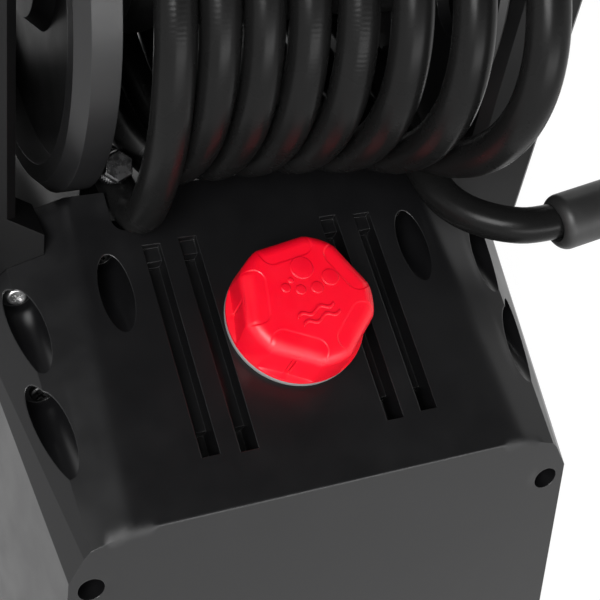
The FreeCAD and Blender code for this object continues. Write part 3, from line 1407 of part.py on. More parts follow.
def make_gun():
    """The trigger gun, its lance and nozzle, standing in the holster on the right arm."""
    holster = new_body("gun_holster")
    plate = ("arm_outer + seat_gap", "arm_outer + seat_gap + holster_plate")
    hook_top = "gun_bottom_z - seat_gap"
    pad(holster, "YZ", [box_outline("gun_y - 18", "gun_y + 18", "holster_low_z - 8", hook_top)], *plate)
    for low in ("holster_low_z", f"{hook_top} - hook_tall"):
        shelf = box_outline("arm_outer + seat_gap + 1", "side_reach", "gun_y - hook_half",
                            "gun_y + hook_half")
        pad(holster, "XY", [shelf], low, f"{low} + hook_tall")
        cut(holster, "XY", [("gun_x", "gun_y", "lance_radius + seat_gap")], f"{low} - 1",
            f"{low} + hook_tall + 1")
        mouth = box_outline("gun_x", "side_reach + 1", "gun_y - lance_radius - seat_gap",
                            "gun_y + lance_radius + seat_gap")
        cut(holster, "XY", [mouth], f"{low} - 1", f"{low} + hook_tall + 1")
    lance = new_body("lance_tube")
    pad(lance, "XY", [("gun_x", "gun_y", "lance_radius")], "lance_bottom_z", "gun_bottom_z - seat_gap")
    cut(lance, "XY", [("gun_x", "gun_y", "lance_bore")], "lance_bottom_z - 1", "gun_bottom_z")
    nozzle = turned("spray_nozzle", [("0", "1.2"), ("0", "nozzle_radius - 2.5"), ("3", "nozzle_radius"),
                                     ("nozzle_tall * 0.6", "nozzle_radius"),
                                     ("nozzle_tall - seat_gap", "nozzle_radius - 2"),
                                     ("nozzle_tall - seat_gap", "lance_bore"),
                                     ("nozzle_tall / 2", "lance_bore"), ("nozzle_tall / 2", "1.2")])
    upright = FreeCAD.Rotation(V(0, 1, 0), -90)
    low = size("lance_bottom_z - nozzle_tall")
    nozzle.Placement = FreeCAD.Placement(V(size("gun_x"), size("gun_y"), low), upright)
    bind(nozzle, Placement__Base__x="gun_x", Placement__Base__y="gun_y",
         Placement__Base__z="lance_bottom_z - nozzle_tall")
    make_gun_body()


def gun_points(pairs):
    """Outline points of the gun, measured from the lance's axis and the gun's lower end."""
    return [(f"gun_y + ({y})", f"gun_bottom_z + ({z})") for y, z in pairs]


def make_gun_body():
    """The gun's moulded body with its guard, and the trigger and lock inside the guard."""
    low, high = "gun_x - gun_half", "gun_x + gun_half"
    body = new_body("gun_body")
    outline = gun_points([(-11, 0), (11, 0), (14, 52), (20, 60), (66, 60), (74, 66), (86, 96),
                          (100, 98), (100, 122), (60, 124), (20, 120), (-4, 104), (-13, 80)])
    pad(body, "YZ", [outline], low, high)
    guard = gun_points([(24, 68), (62, 68), (74, 98), (60, 102), (30, 99), (20, 88)])
    cut(body, "YZ", [guard], f"{low} - 1", f"{high} + 1")
    slot = gun_points([(12, 86), (30, 86), (30, 108), (12, 108)])
    cut(body, "YZ", [slot], "gun_x - trigger_half - seat_gap", "gun_x + trigger_half + seat_gap")
    soften(body, "3", is_gun_edge)
    pin = ("trigger_pin_y", "trigger_pin_z", "trigger_pin_radius")
    pad(body, "YZ", [pin], "gun_x - trigger_half - 1", "gun_x + trigger_half + 1")
    trigger = new_body("gun_trigger")
    lever = gun_points([(13.6, 92), (13.6, 104), (22, 104), (30, 96), (58, 93), (60, 86), (50, 85),
                        (24, 88)])
    pad(trigger, "YZ", [lever], "gun_x - trigger_half", "gun_x + trigger_half")
    eye = ("trigger_pin_y", "trigger_pin_z", "trigger_pin_radius + running_gap")
    cut(trigger, "YZ", [eye], low, high)
    lock = new_body("gun_lock")
    tab = gun_points([(40, 106), (54, 106), (56, 112), (54, 116), (40, 116)])
    pad(lock, "YZ", [tab], "gun_x - gun_half - 3 - seat_gap", "gun_x - gun_half - seat_gap")


def is_gun_edge(edge):
    """The outer edges along both side faces of the gun."""
    middle = edge.valueAt((edge.FirstParameter + edge.LastParameter) / 2)
    ends = [vertex.Point for vertex in edge.Vertexes]
    on_side = near(abs(middle.x - size("gun_x")), "gun_half")
    low_edge = all(abs(point.z - size("gun_bottom_z")) < 0.1 for point in ends)
    inner = 22 < middle.y - size("gun_y") < 76 and 66 < middle.z - size("gun_bottom_z") < 103
    return on_side and not low_edge and not inner


def build():
    """Every sub-part of the machine, from the base up."""
    make_front_housing()
    make_screws()
    make_rear_housing()
    make_base_tray()
    for side_name, sign in (("left", -1), ("right", 1)):
        make_foot(side_name + "_foot", sign)
        make_arm(side_name + "_arm", sign)
        make_arm_cover(side_name + "_arm_cover", sign)
        make_wheel(side_name + "_wheel", sign)
    make_tank()
    make_filler()
    make_bridge()
    make_switch()
    make_reel()
    make_hose()
    make_wheel_axle()
    make_drive()
    make_handle()
    make_gun()


def faults():
    """What is wrong with the document's objects or with the sub-parts' shapes."""
    found = []
    for item in doc.Objects:
        if "Invalid" in item.State or "Error" in item.State:
            found.append(item.Name + " " + str(item.State))
        cutting = item.TypeId in ("PartDesign::Pocket", "PartDesign::Groove")
        if cutting and abs(item.Shape.Volume - item.BaseFeature.Shape.Volume) < 1:
            found.append(item.Name + " cuts nothing")
    for part in parts:
        if part.Shape.isNull() or not part.Shape.isValid() or not part.Shape.Solids:
            found.append(part.Label + " has no sound shape")
    return found


build()
doc.recompute()
wrong = faults()
if wrong:
    raise RuntimeError("; ".join(wrong))
os.makedirs("parts", exist_ok=True)
for part in parts:
    part.Shape.exportStep(f"parts/{part.Label}.step")
print(len(parts), "sub-parts written")
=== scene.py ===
# %% [markdown]
# # An upright pressure washer
# The casing, the two arms, the hose reel, the handle and every piece inside come from the
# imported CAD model, each in its own place. This file gives them their looks. What is soft or
# wound, or has fine moulding, is built here again: the hose with its inner turns and its
# sleeve, the red soap cap with its seal, and the knurled outlet nut. The scene is in metres, in
# the frame of the CAD model; sizes are written in millimetres and multiplied by MM.

# %% The frame
import json
import math

import bmesh
import bpy
from mathutils import Matrix, Vector


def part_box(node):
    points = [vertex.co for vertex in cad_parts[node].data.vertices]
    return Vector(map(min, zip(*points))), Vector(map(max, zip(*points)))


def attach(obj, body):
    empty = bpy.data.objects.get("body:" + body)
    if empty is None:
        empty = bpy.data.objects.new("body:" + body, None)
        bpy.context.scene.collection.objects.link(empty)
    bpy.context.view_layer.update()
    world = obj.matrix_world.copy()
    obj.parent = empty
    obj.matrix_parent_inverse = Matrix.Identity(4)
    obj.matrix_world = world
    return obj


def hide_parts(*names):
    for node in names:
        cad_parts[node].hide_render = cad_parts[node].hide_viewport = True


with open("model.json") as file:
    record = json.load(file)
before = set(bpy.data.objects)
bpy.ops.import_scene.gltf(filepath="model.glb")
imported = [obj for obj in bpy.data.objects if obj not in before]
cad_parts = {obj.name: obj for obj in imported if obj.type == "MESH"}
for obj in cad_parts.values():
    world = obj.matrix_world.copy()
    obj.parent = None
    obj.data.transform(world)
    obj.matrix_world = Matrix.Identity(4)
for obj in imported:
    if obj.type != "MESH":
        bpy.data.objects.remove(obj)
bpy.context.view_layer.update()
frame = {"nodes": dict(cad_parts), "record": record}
nodes = frame["nodes"]
MM = 0.001


# %% [markdown]
# ## The camera
# The photograph looks down on the sloping deck from the front left, with the camera rolled a
# little so that the machine leans. The place and the turn were found by matching the corners
# of the deck's slots and the cap's outline, and the three rows below are the directions of the
# picture's right, its down, and the line of sight.

# %% The camera
PICTURE = 600
SENSOR = 36
FOCAL_PIXELS = 1322.71
RIGHT = Vector((0.913822, -0.378756, 0.146538))
DOWN = Vector((-0.157663, -0.663394, -0.731471))
AHEAD = Vector((0.374262, 0.645331, -0.665940))
EYE = Vector((-187.45, -419.32, 526.16)) * MM

view = bpy.data.cameras.new("photo_view")
view.sensor_width = SENSOR
view.lens = FOCAL_PIXELS / PICTURE * SENSOR
camera = bpy.data.objects.new("photo_view", view)
bpy.context.scene.collection.objects.link(camera)
turn = Matrix((RIGHT, -DOWN, -AHEAD)).transposed().to_4x4()
camera.matrix_world = Matrix.Translation(EYE) @ turn
bpy.context.scene.camera = camera
print("lens", round(view.lens, 1), "mm")

# %% [markdown]
# ## The hose's line
# The hose is one length: it comes up through a notch in the lip, goes almost eight loose turns
# round the reel, and its free end lies on the right shoulder and leaves past the right arm. A
# curve with a round bevel suits it better than a mesh tube, because its points are few and its
# surface stays smooth. The turns follow the rule of the CAD model: an oval that grows and
# droops to the right. A spline of order 3 runs a little inside its control points: beside one
# it lies at 0.75 + 0.25 cos(STEP) of the way out. The ovals are drawn larger by that share.

# %% The hose
HOSE = 15 * MM
TURNS = 7.75
STEP = 22.5
FIRST_X = -47
PITCH = 15.7
BLEND = 3
LEFT_OVAL = {"y": 26.6, "z": 268.2, "front": 90.9, "back": 84, "rise": 80, "drop": 72}
RIGHT_OVAL = {"y": 17.1, "z": 298.9, "front": 151.3, "back": 104, "rise": 78, "drop": 79.1}
WAY_IN = [(-49.4, -9, 196.3), (-49.4, -32, 196.3), (-49, -52, 205), (-48.2, -60.5, 226),
          (-47.4, -65, 246)]
FREE_END = [(74.7, 17.1, 219.8), (74.7, -7, 219.8), (74.4, -26, 213), (73.8, -46, 206.5),
            (78.5, -65, 200.8), (91.5, -81, 201.5), (111, -89.5, 203.5), (153, -87, 209.5)]
SPLINE_ORDER = 3
STEPS_PER_POINT = 10
BEVEL_STEPS = 9


def turn_point(degrees):
    """A control point of the winding, at an angle counted from the front of the first turn."""
    share = (degrees / (360 * TURNS)) ** BLEND
    oval = {name: left + (RIGHT_OVAL[name] - left) * share for name, left in LEFT_OVAL.items()}
    ahead = math.cos(math.radians(degrees))
    up = math.sin(math.radians(degrees))
    swell = 1 / (0.75 + 0.25 * math.cos(math.radians(STEP)))
    reach = oval["front"] if ahead > 0 else oval["back"]
    tall = oval["rise"] if up > 0 else oval["drop"]
    x = FIRST_X + PITCH * degrees / 360
    return Vector((x, oval["y"] - reach * swell * ahead, oval["z"] + tall * swell * up)) * MM


def nurbs(name, points, radius):
    """A smooth round tube whose centre line is drawn by these control points.

    The points carry the radius, because a curve's box is reckoned from theirs."""
    curve = bpy.data.curves.new(name, "CURVE")
    curve.dimensions = "3D"
    spline = curve.splines.new("NURBS")
    spline.points.add(len(points) - 1)
    for place, point in zip(spline.points, points):
        place.co = (*point, 1)
        place.radius = radius
    spline.order_u = SPLINE_ORDER
    spline.use_endpoint_u = True
    spline.resolution_u = STEPS_PER_POINT
    curve.bevel_depth = 1.0
    curve.bevel_resolution = BEVEL_STEPS
    curve.use_fill_caps = True
    tube = bpy.data.objects.new(name, curve)
    bpy.context.scene.collection.objects.link(tube)
    return tube


def in_metres(points):
    """Points given in millimetres, as vectors in metres."""
    return [Vector(point) * MM for point in points]


winding = [turn_point(STEP * k) for k in range(round(360 * TURNS / STEP))]
route = in_metres(WAY_IN) + winding + in_metres(FREE_END)
hose = nurbs("pressure_hose", route, HOSE / 2)
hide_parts("hose_coil", "hose_free")
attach(hose, "chassis")
hose_length = hose.data.splines[0].calc_length()
print("hose", round(hose_length, 3), "m with", len(route), "points")

# %% [markdown]
# ## The studio
# The photograph has a white ground under a dark ceiling: the deck mirrors the ceiling and stays
# black, while the front, the bevel and the flank lean outward and mirror the white ground. So
# the world is white at the horizon and dark above, a large dim soft box hangs at the right, and
# a key lamp at the front left lights the colours without being mirrored in the deck.

# %% The studio
scene = bpy.context.scene
scene.view_settings.view_transform = "Standard"
MIDDLE = Vector((0.0, -0.04, 0.2))
HORIZON = {"From Min": 0.22, "From Max": 0.50, "To Min": 1.0, "To Max": 0.05}
HALF_FLOOR = 6.0
FLOOR_DROP = 0.0005


def lamp(name, toward, far, wide, tall, power):
    """A soft box that faces the machine from a direction: its distance and size in metres, its watts."""
    light = bpy.data.lights.new(name, "AREA")
    light.shape = "RECTANGLE"
    light.size = wide
    light.size_y = tall
    light.energy = power
    obj = bpy.data.objects.new(name, light)
    scene.collection.objects.link(obj)
    direction = Vector(toward).normalized()
    obj.location = MIDDLE + direction * far
    obj.rotation_mode = "QUATERNION"
    obj.rotation_quaternion = (-direction).to_track_quat("-Z", "Y")


lamp("key_lamp", (-0.55, -0.65, 0.6), 1.5, 0.75, 0.65, 26)
lamp("low_front_box", (0.15, -1.0, 0.02), 1.5, 1.4, 0.35, 9)
lamp("soft_box_right", (0.80, 0.09, 0.55), 1.4, 0.8, 0.8, 1.2)
lamp("back_light", (0.2, 1.0, 0.9), 1.6, 1.0, 0.6, 6)

world = bpy.data.worlds.new("white_horizon")
world.use_nodes = True
scene.world = world
tree = world.node_tree
toward = tree.nodes.new("ShaderNodeTexCoord")
apart = tree.nodes.new("ShaderNodeSeparateXYZ")
level = tree.nodes.new("ShaderNodeMapRange")
level.interpolation_type = "SMOOTHSTEP"
for socket, value in HORIZON.items():
    level.inputs[socket].default_value = value
tree.links.new(toward.outputs["Generated"], apart.inputs["Vector"])
tree.links.new(apart.outputs["Z"], level.inputs["Value"])
ground = tree.nodes["Background"]
ground.inputs["Color"].default_value = (1, 1, 1, 1)
tree.links.new(level.outputs["Result"], ground.inputs["Strength"])

floor_mesh = bpy.data.meshes.new("floor")
corners = [(-HALF_FLOOR, -HALF_FLOOR, 0), (HALF_FLOOR, -HALF_FLOOR, 0),
           (HALF_FLOOR, HALF_FLOOR, 0), (-HALF_FLOOR, HALF_FLOOR, 0)]
floor_mesh.from_pydata(corners, [], [(0, 1, 2, 3)])
floor = bpy.data.objects.new("floor", floor_mesh)
floor.location.z = -FLOOR_DROP
scene.collection.objects.link(floor)
print("lamps and floor are set")

# %% [markdown]
# ## Shader maths in Python
# A material is a tree of small nodes. Written as Python expressions it stays readable: a Wire
# is one output of a node, and +, -, *, > and < on wires add Math nodes. Every other node
# comes from one method, `node`, which takes the kind, its settings and what its sockets get.

# %% Wires and finishes
class Wire:
    """One output of a shader node; Python's operators on it add Math nodes."""

    def __init__(self, finish, socket):
        self.finish = finish
        self.socket = socket

    def math(self, operation, other):
        return self.finish.node("ShaderNodeMath", {"operation": operation}, {0: self, 1: other})

    def __add__(self, other):
        return self.math("ADD", other)

    def __sub__(self, other):
        return self.math("SUBTRACT", other)

    def __mul__(self, other):
        return self.math("MULTIPLY", other)

    def __gt__(self, other):
        return self.math("GREATER_THAN", other)

    def __lt__(self, other):
        return self.math("LESS_THAN", other)


RIM_FLAT = 0.995
RIM_SHARP = 0.80
BEVEL_SAMPLES = 6


class Finish:
    """A material: its shader, and one method that adds any other node."""

    def __init__(self, name, **constants):
        self.material = bpy.data.materials.new(name)
        self.material.use_nodes = True
        self.tree = self.material.node_tree
        self.shader = self.tree.nodes["Principled BSDF"]
        for socket, value in constants.items():
            self.shader.inputs[socket.replace("_", " ")].default_value = value

    def node(self, kind, settings=None, sockets=None, out=0):
        """Any node: its kind, its settings, what its sockets get, and which output counts."""
        made = self.tree.nodes.new(kind)
        for name, value in (settings or {}).items():
            setattr(made, name, value)
        for name, value in (sockets or {}).items():
            self.plug(made.inputs[name], value)
        return Wire(self, made.outputs[out])

    def plug(self, socket, value):
        """Link a wire to a socket, or set the socket to a constant."""
        if isinstance(value, Wire):
            self.tree.links.new(value.socket, socket)
        else:
            socket.default_value = value

    def shade(self, **sockets):
        """Plug wires into the shader's own sockets."""
        for name, value in sockets.items():
            self.plug(self.shader.inputs[name.replace("_", " ")], value)

    def place(self):
        """Where a point lies in the object's own frame, in metres."""
        return self.node("ShaderNodeTexCoord", out="Object")

    def parts(self, vector):
        """The three parts of a vector, as wires."""
        split = self.node("ShaderNodeSeparateXYZ", sockets={0: vector})
        outputs = split.socket.node.outputs
        return [Wire(self, outputs[k]) for k in range(3)]

    def noise(self, fineness, detail=2.0, place=None, rough=0.5):
        """Cloudy variation from 0 to 1; fineness is in blobs per metre."""
        where = place or self.place()
        return self.node("ShaderNodeTexNoise", sockets={"Vector": where, "Scale": fineness,
                                                        "Detail": detail, "Roughness": rough})

    def mix(self, share, first, second):
        """One colour over another by a share."""
        return self.node("ShaderNodeMix", {"data_type": "RGBA"}, {0: share, 6: first, 7: second}, out=2)

    def fade(self, value, low, high, start=0.0, end=1.0):
        """A value mapped from one range to another, and held at its ends."""
        return self.node("ShaderNodeMapRange", {"clamp": True},
                         {0: value, 1: low, 2: high, 3: start, 4: end})

    def round_edges(self, radius):
        """The normal as if every edge had a small radius, which moulded and turned pieces have."""
        return self.node("ShaderNodeBevel", {"samples": BEVEL_SAMPLES}, {"Radius": radius})

    def edge_share(self, rounded):
        """0 on flat faces, rising to 1 on edges: how far the rounded normal leans."""
        plain = self.node("ShaderNodeNewGeometry", out="Normal")
        along = self.node("ShaderNodeVectorMath", {"operation": "DOT_PRODUCT"}, {0: rounded, 1: plain},
                          out="Value")
        return self.fade(along, RIM_FLAT, RIM_SHARP)

    def bump(self, height, depth, normal=None, strength=1.0):
        """Relief from a height of 0 to 1 that is this many metres deep."""
        sockets = {"Strength": strength, "Distance": depth, "Height": height}
        if normal:
            sockets["Normal"] = normal
        return self.node("ShaderNodeBump", sockets=sockets)


def grey(value):
    """A grey as the shader wants it."""
    return (value, value, value, 1)


print("finishes can be written")

# %% [markdown]
# ## Moulded plastics
# The casing is black plastic with a fine spark-eroded grain, a little cloudy from the way it
# flows into the mould, and its rims are polished by handling. In patches the rims are also
# painted lighter: partly wear, partly a painted highlight. A rounded normal gives all edges the
# thin light line that shows along slots and wells.

# %% The black casing
CREASE_INNER = (0.0705, 0.0735)
CREASE_OUTER = (0.087, 0.091)
CREASE_RADIUS = 7
CLOUDS = 22
CLOUD_SHADE = 0.72
WEAR = 60
RIM_WEAR_AND_HIGHLIGHT = (0.25, 0.8)
RIM_POLISH = 0.12


def soft_creases(finish, rounded):
    """The normal with a wide round on the two long creases between the deck and its shoulders.

    It is mixed in only beside the creases, where no slot or screw well lies."""
    across = finish.parts(finish.place())[0]
    aside = finish.node("ShaderNodeMath", {"operation": "ABSOLUTE"}, {0: across})
    near = finish.fade(aside, *CREASE_INNER) * finish.fade(aside, *CREASE_OUTER, 1.0, 0.0)
    wide = finish.round_edges(CREASE_RADIUS * MM)
    return finish.node("ShaderNodeMix", {"data_type": "VECTOR"}, {0: near, 4: rounded, 5: wide}, out=1)


def moulded(name, colour, rough, grain, edge=0.45, lighter=0.05, grain_depth=0.02, shine=0.5,
            creased=False):
    """A moulded plastic: its colour, its roughness, grains per metre, and its edges' radius in mm.

    lighter is how far the rims pale in patches, partly wear and partly a painted highlight; shine how
    much it mirrors, creased is for the deck."""
    finish = Finish(name, Base_Color=(*colour, 1), IOR=1.48, Specular_IOR_Level=shine)
    rounded = finish.round_edges(edge * MM)
    rim = finish.edge_share(rounded)
    if creased:
        rounded = soft_creases(finish, rounded)
    cloud = finish.noise(CLOUDS, 3)
    fine = finish.noise(grain, 3, rough=0.65)
    handled = finish.noise(WEAR, 4)
    dark = tuple(CLOUD_SHADE * part for part in colour)
    base = finish.mix(cloud, (*dark, 1), (*colour, 1))
    # Rims painted lighter in patches: partly wear, partly a painted highlight along the edges.
    worn_and_lit_rim = tuple(part + lighter for part in colour)
    base = finish.mix(rim * finish.fade(handled, 0.3, 0.7, *RIM_WEAR_AND_HIGHLIGHT), base, (*worn_and_lit_rim, 1))
    roughness = finish.fade(handled, 0.25, 0.75, rough - 0.05, rough + 0.05) - rim * RIM_POLISH
    grained = finish.bump(fine, grain_depth * MM, rounded, 0.8)
    finish.shade(Base_Color=base, Roughness=roughness, Normal=grained)
    return finish


housing_black = moulded("housing_black", (0.0045, 0.0045, 0.005), 0.34, 2600, lighter=0.02)
deck_black = moulded("deck_black", (0.0045, 0.0045, 0.005), 0.34, 2600, lighter=0.03, creased=True)
arm_black = moulded("arm_black", (0.004, 0.004, 0.0042), 0.42, 2400, lighter=0.01, shine=0.22)
reel_black = moulded("reel_black", (0.010, 0.010, 0.0105), 0.36, 2200, lighter=0.02)
grip_black = moulded("grip_black", (0.020, 0.020, 0.022), 0.62, 1500, grain_depth=0.05)
gun_black = moulded("gun_black", (0.016, 0.016, 0.018), 0.44, 2000)
hub_black = moulded("hub_black", (0.028, 0.028, 0.030), 0.40, 2000)
bush_grey = moulded("bush_grey", (0.33, 0.33, 0.32), 0.35, 2500, lighter=0.1)
print("plastics made")

# %% [markdown]
# The soap cap is satin red. Its mould left a very fine speckle, and the light goes a little way
# into the plastic, so a small share of scattering keeps its shadows red.

# %% Red, natural and rubber finishes
cap_red = Finish("cap_red", IOR=1.5, Subsurface_Weight=0.15, Subsurface_Scale=0.004)
cap_rounded = cap_red.round_edges(0.3 * MM)
cap_cloud = cap_red.noise(45, 3)
cap_red.shade(Base_Color=cap_red.mix(cap_cloud, (0.74, 0.0, 0.012, 1), (0.84, 0.002, 0.020, 1)),
              Roughness=cap_red.fade(cap_red.noise(120, 3), 0.3, 0.7, 0.34, 0.44),
              Normal=cap_red.bump(cap_red.noise(2400, 2), 0.012 * MM, cap_rounded, 0.7))


def rubber(name, shade, rough, grain=1800, depth=0.03, dust=0.02):
    """Rubber or soft vinyl, a little dusty in patches."""
    finish = Finish(name, IOR=1.45)
    rounded = finish.round_edges(0.5 * MM)
    dusty = finish.fade(finish.noise(35, 5), 0.45, 0.8)
    finish.shade(Base_Color=finish.mix(dusty, grey(shade), grey(shade + dust)),
                 Roughness=finish.fade(finish.noise(80, 3), 0.3, 0.7, rough - 0.06, rough + 0.06),
                 Normal=finish.bump(finish.noise(grain, 3), depth * MM, rounded, 0.7))
    return finish


gasket_grey = rubber("gasket_grey", 0.20, 0.48)
sleeve_black = rubber("sleeve_black", 0.012, 0.46, 2400)
foot_rubber = rubber("foot_rubber", 0.020, 0.62)
tyre_rubber = rubber("tyre_rubber", 0.016, 0.66, 1400, 0.08, 0.03)

tank_natural = Finish("tank_natural", IOR=1.5, Subsurface_Weight=0.35, Subsurface_Scale=0.01)
tank_flow = tank_natural.noise(14, 4)
TANK_DULL = (0.55, 0.55, 0.50, 1)
TANK_CLEAR = (0.68, 0.68, 0.64, 1)
tank_natural.shade(Base_Color=tank_natural.mix(tank_flow, TANK_DULL, TANK_CLEAR),
                   Roughness=tank_natural.fade(tank_flow, 0.3, 0.7, 0.30, 0.42),
                   Normal=tank_natural.bump(tank_natural.noise(900, 2), 0.03 * MM,
                                            tank_natural.round_edges(0.8 * MM), 0.6))
print("red, natural and rubber finishes made")

# %% [markdown]
# ## The hose's skin
# The hose is smooth black vinyl. Where it bends, the inner side of the skin gathers in fine
# creases across the hose. A curve gives a texture place along its length, so the creases are
# stripes along that, broken up by noise.

# %% The hose's skin
GATHER_PITCH = 0.0017
GATHER_WAVER = 9
hose_vinyl = Finish("hose_vinyl", IOR=1.48, Specular_IOR_Level=0.12)
along = hose_vinyl.parts(hose_vinyl.node("ShaderNodeTexCoord", out="UV"))[0]
waver = hose_vinyl.noise(55, 3)
stripe = hose_vinyl.node("ShaderNodeMath", {"operation": "SINE"},
                         {0: along * (2 * math.pi * hose_length / GATHER_PITCH)
                             + waver * GATHER_WAVER})
gathered = hose_vinyl.fade(hose_vinyl.noise(24, 2), 0.5, 0.68)
skin = stripe * gathered * 0.5 + hose_vinyl.noise(900, 3) * 0.6
hose_vinyl.shade(Base_Color=hose_vinyl.mix(hose_vinyl.noise(30, 4), grey(0.004), grey(0.008)),
                 Roughness=hose_vinyl.fade(hose_vinyl.noise(70, 4), 0.3, 0.7, 0.24, 0.32),
                 Normal=hose_vinyl.bump(skin, 0.03 * MM, strength=0.7))
hose.data.materials.append(hose_vinyl.material)
print("hose skin made")

# %% [markdown]
# ## Metals
# Shafts are ground steel, with fine lines round them; the tubes of the handle are satin
# aluminium; the couplings are turned brass; the motor's can is dark enamel. The casing screws
# are blackened, and one of them, picked by its place, is given a bright colour: a painted highlight.

# %% Metals
def metal(name, colour, rough, lines, stretch, edge=0.25, depth=0.01):
    """A worked metal, with fine lines: stretch gives how long they are along X, Y and Z."""
    finish = Finish(name, Metallic=1.0)
    drawn = finish.node("ShaderNodeMapping", sockets={"Vector": finish.place(), "Scale": stretch})
    scratch = finish.noise(lines, 4, drawn, 0.7)
    dull = finish.noise(40, 3)
    faded = tuple(0.75 * part for part in colour)
    finish.shade(Base_Color=finish.mix(dull, (*faded, 1), (*colour, 1)),
                 Roughness=finish.fade(scratch, 0.3, 0.7, rough - 0.08, rough + 0.10),
                 Normal=finish.bump(scratch, depth * MM, finish.round_edges(edge * MM), 0.6))
    return finish


ground_steel = metal("ground_steel", (0.55, 0.55, 0.57), 0.28, 1500, (0.06, 1, 1))
drawn_aluminium = metal("drawn_aluminium", (0.60, 0.61, 0.62), 0.33, 1300, (1, 1, 0.03))
cast_aluminium = metal("cast_aluminium", (0.46, 0.47, 0.48), 0.48, 700, (1, 1, 1), 0.8, 0.05)
turned_brass = metal("turned_brass", (0.62, 0.42, 0.16), 0.26, 1600, (1, 0.1, 0.1))
nut_steel = metal("nut_steel", (0.24, 0.24, 0.245), 0.26, 250, (1, 1, 1), 0.2, 0.002)
motor_enamel = rubber("motor_enamel", 0.045, 0.36, 1100, 0.03, 0.02)

# Where the one bright screw lies: its bright colour is a painted highlight, the others stay blackened.
GLINT_SCREW_LEFT = -0.09
GLINT_SCREW_ABOVE = 0.170
screw_steel = Finish("screw_steel", Metallic=1.0)
across, _, upward = screw_steel.parts(screw_steel.place())
glinting_screw = (across < GLINT_SCREW_LEFT) * (upward > GLINT_SCREW_ABOVE)
screw_turned = screw_steel.noise(700, 3)
screw_steel.shade(Base_Color=screw_steel.mix(glinting_screw, grey(0.03), grey(0.60)),
                  Roughness=screw_steel.fade(screw_turned, 0.3, 0.7, 0.26, 0.40),
                  Normal=screw_steel.bump(screw_turned, 0.004 * MM,
                                          screw_steel.round_edges(0.3 * MM)))
print("metals made")

# %% [markdown]
# ## Who wears what
# The record lists a material slot for every node. The finishes above are given by slot, so a
# node that is added later is dressed by its slot. A few nodes have a finish of their own.

# %% Dressing the nodes
BY_SLOT = {"housing": housing_black, "cap": cap_red, "gasket": gasket_grey, "tank": tank_natural,
           "hose": hose_vinyl, "sleeve": sleeve_black, "nut": nut_steel, "brass": turned_brass,
           "steel": ground_steel, "aluminium": drawn_aluminium, "motor": motor_enamel,
           "reel": reel_black, "bush": bush_grey, "tyre": tyre_rubber, "hub": hub_black,
           "rubber": foot_rubber, "grip": grip_black, "gun": gun_black}
BY_NODE = {"pump_body": cast_aluminium, "pump_head": cast_aluminium, "front_housing": deck_black,
           "left_arm": arm_black, "right_arm": arm_black, "hose_elbow": arm_black,
           "housing_screws": screw_steel}
for part in frame["record"]["subparts"]:
    finish = BY_NODE.get(part["node"], BY_SLOT[part["material_slot"]])
    mesh = nodes[part["node"]].data
    mesh.materials.clear()
    mesh.materials.append(finish.material)

# %% [markdown]
# ## Forms made of rings
# Every mesh below is a stack of rings of vertices, joined by bands of quads.

# %% Rings
ROUND_STEPS = 720


def band(bm, low, high):
    """Quads between two rings of the same number of vertices."""
    for k in range(len(low)):
        after = (k + 1) % len(low)
        bm.faces.new((low[k], low[after], high[after], high[k]))


def bands(bm, rings):
    """A skin through rings, from the first to the last."""
    for low, high in zip(rings, rings[1:]):
        band(bm, low, high)


def closed_by_lids(bm, rings):
    """Flat faces over the last ring and under the first."""
    bm.faces.new(rings[-1])
    bm.faces.new(list(reversed(rings[0])))


def ring_mesh(bm, rows, place):
    """A skin with one ring for each row; place says where a row's vertex lies at an angle."""
    rings = [[bm.verts.new(place(row, 2 * math.pi * k / ROUND_STEPS)) for k in range(ROUND_STEPS)]
             for row in rows]
    bands(bm, rings)
    return rings


def finished(bm, name, finish, body, replaced, smooth=40):
    """A mesh object from these faces, shaded smooth but for its edges, riding on a body."""
    bmesh.ops.recalc_face_normals(bm, faces=bm.faces)
    mesh = bpy.data.meshes.new(name)
    bm.to_mesh(mesh)
    bm.free()
    mesh.polygons.foreach_set("use_smooth", [True] * len(mesh.polygons))
    mesh.set_sharp_from_angle(angle=math.radians(smooth))
    mesh.materials.append(finish.material)
    obj = bpy.data.objects.new(name, mesh)
    scene.collection.objects.link(obj)
    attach(obj, body)
    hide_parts(replaced)
    return obj


print("rings can be joined")

# %% [markdown]
# ## The soap cap
# The real cap is a screw lid on a tilted neck, with a soft round shoulder. Five flat finger
# grips are cut into its side; each runs over the shoulder onto the lid, where it ends in an
# arch, and has a narrow groove in its middle. It is one closed mesh of rings: a plain turned
# form first, whose points are then drawn onto the grip's surface where a grip is. The rings lie
# in the lid's own frame, which leans with the deck.

# %% The cap's own frame
LEAN = math.radians(23.26)
CAP_FOOT = Vector((0, -88.614, 177.305)) * MM
UPHILL = Vector((0, math.cos(LEAN), math.sin(LEAN)))
OUTWARD = Vector((0, -math.sin(LEAN), math.cos(LEAN)))
ACROSS = Vector((1, 0, 0))
LID_ASIDE = 1.8
LID_DOWNHILL = 2.0


def on_deck(across, uphill, out):
    """A point in the scene's frame from millimetres across, up and off the deck at the neck."""
    return CAP_FOOT + (ACROSS * across + UPHILL * uphill + OUTWARD * out) * MM


# %% The cap's form
CAP_LOW = 2.9
CAP_HIGH = 22.6
CAP_RADIUS = 27.9
CAP_UPPER_RADIUS = 27.1
CAP_SHOULDER = 5.2
CAP_INSIDE = 24.6
LIP_ROWS = 8
LIP_STEP = 0.25
WALL_ROWS = 26
SHOULDER_ROWS = 20
TOP_ROWS = 59
TOP_STEP = 0.35
GRIPS = 5
FIRST_GRIP = math.radians(27)
GRIP_HALF = 11.2
GRIP_WALL = 25.2
GRIP_ARCH = 16.0
GRIP_CORNER = 5.0
GRIP_STEP = 0.28
GRIP_FOOT = 4.4
GROOVE_HALF = 1.1
GROOVE_DEEP = 0.8
GROOVE_TOP = 18.5
GROOVE_FADE = 2.0
SOFT = 0.4


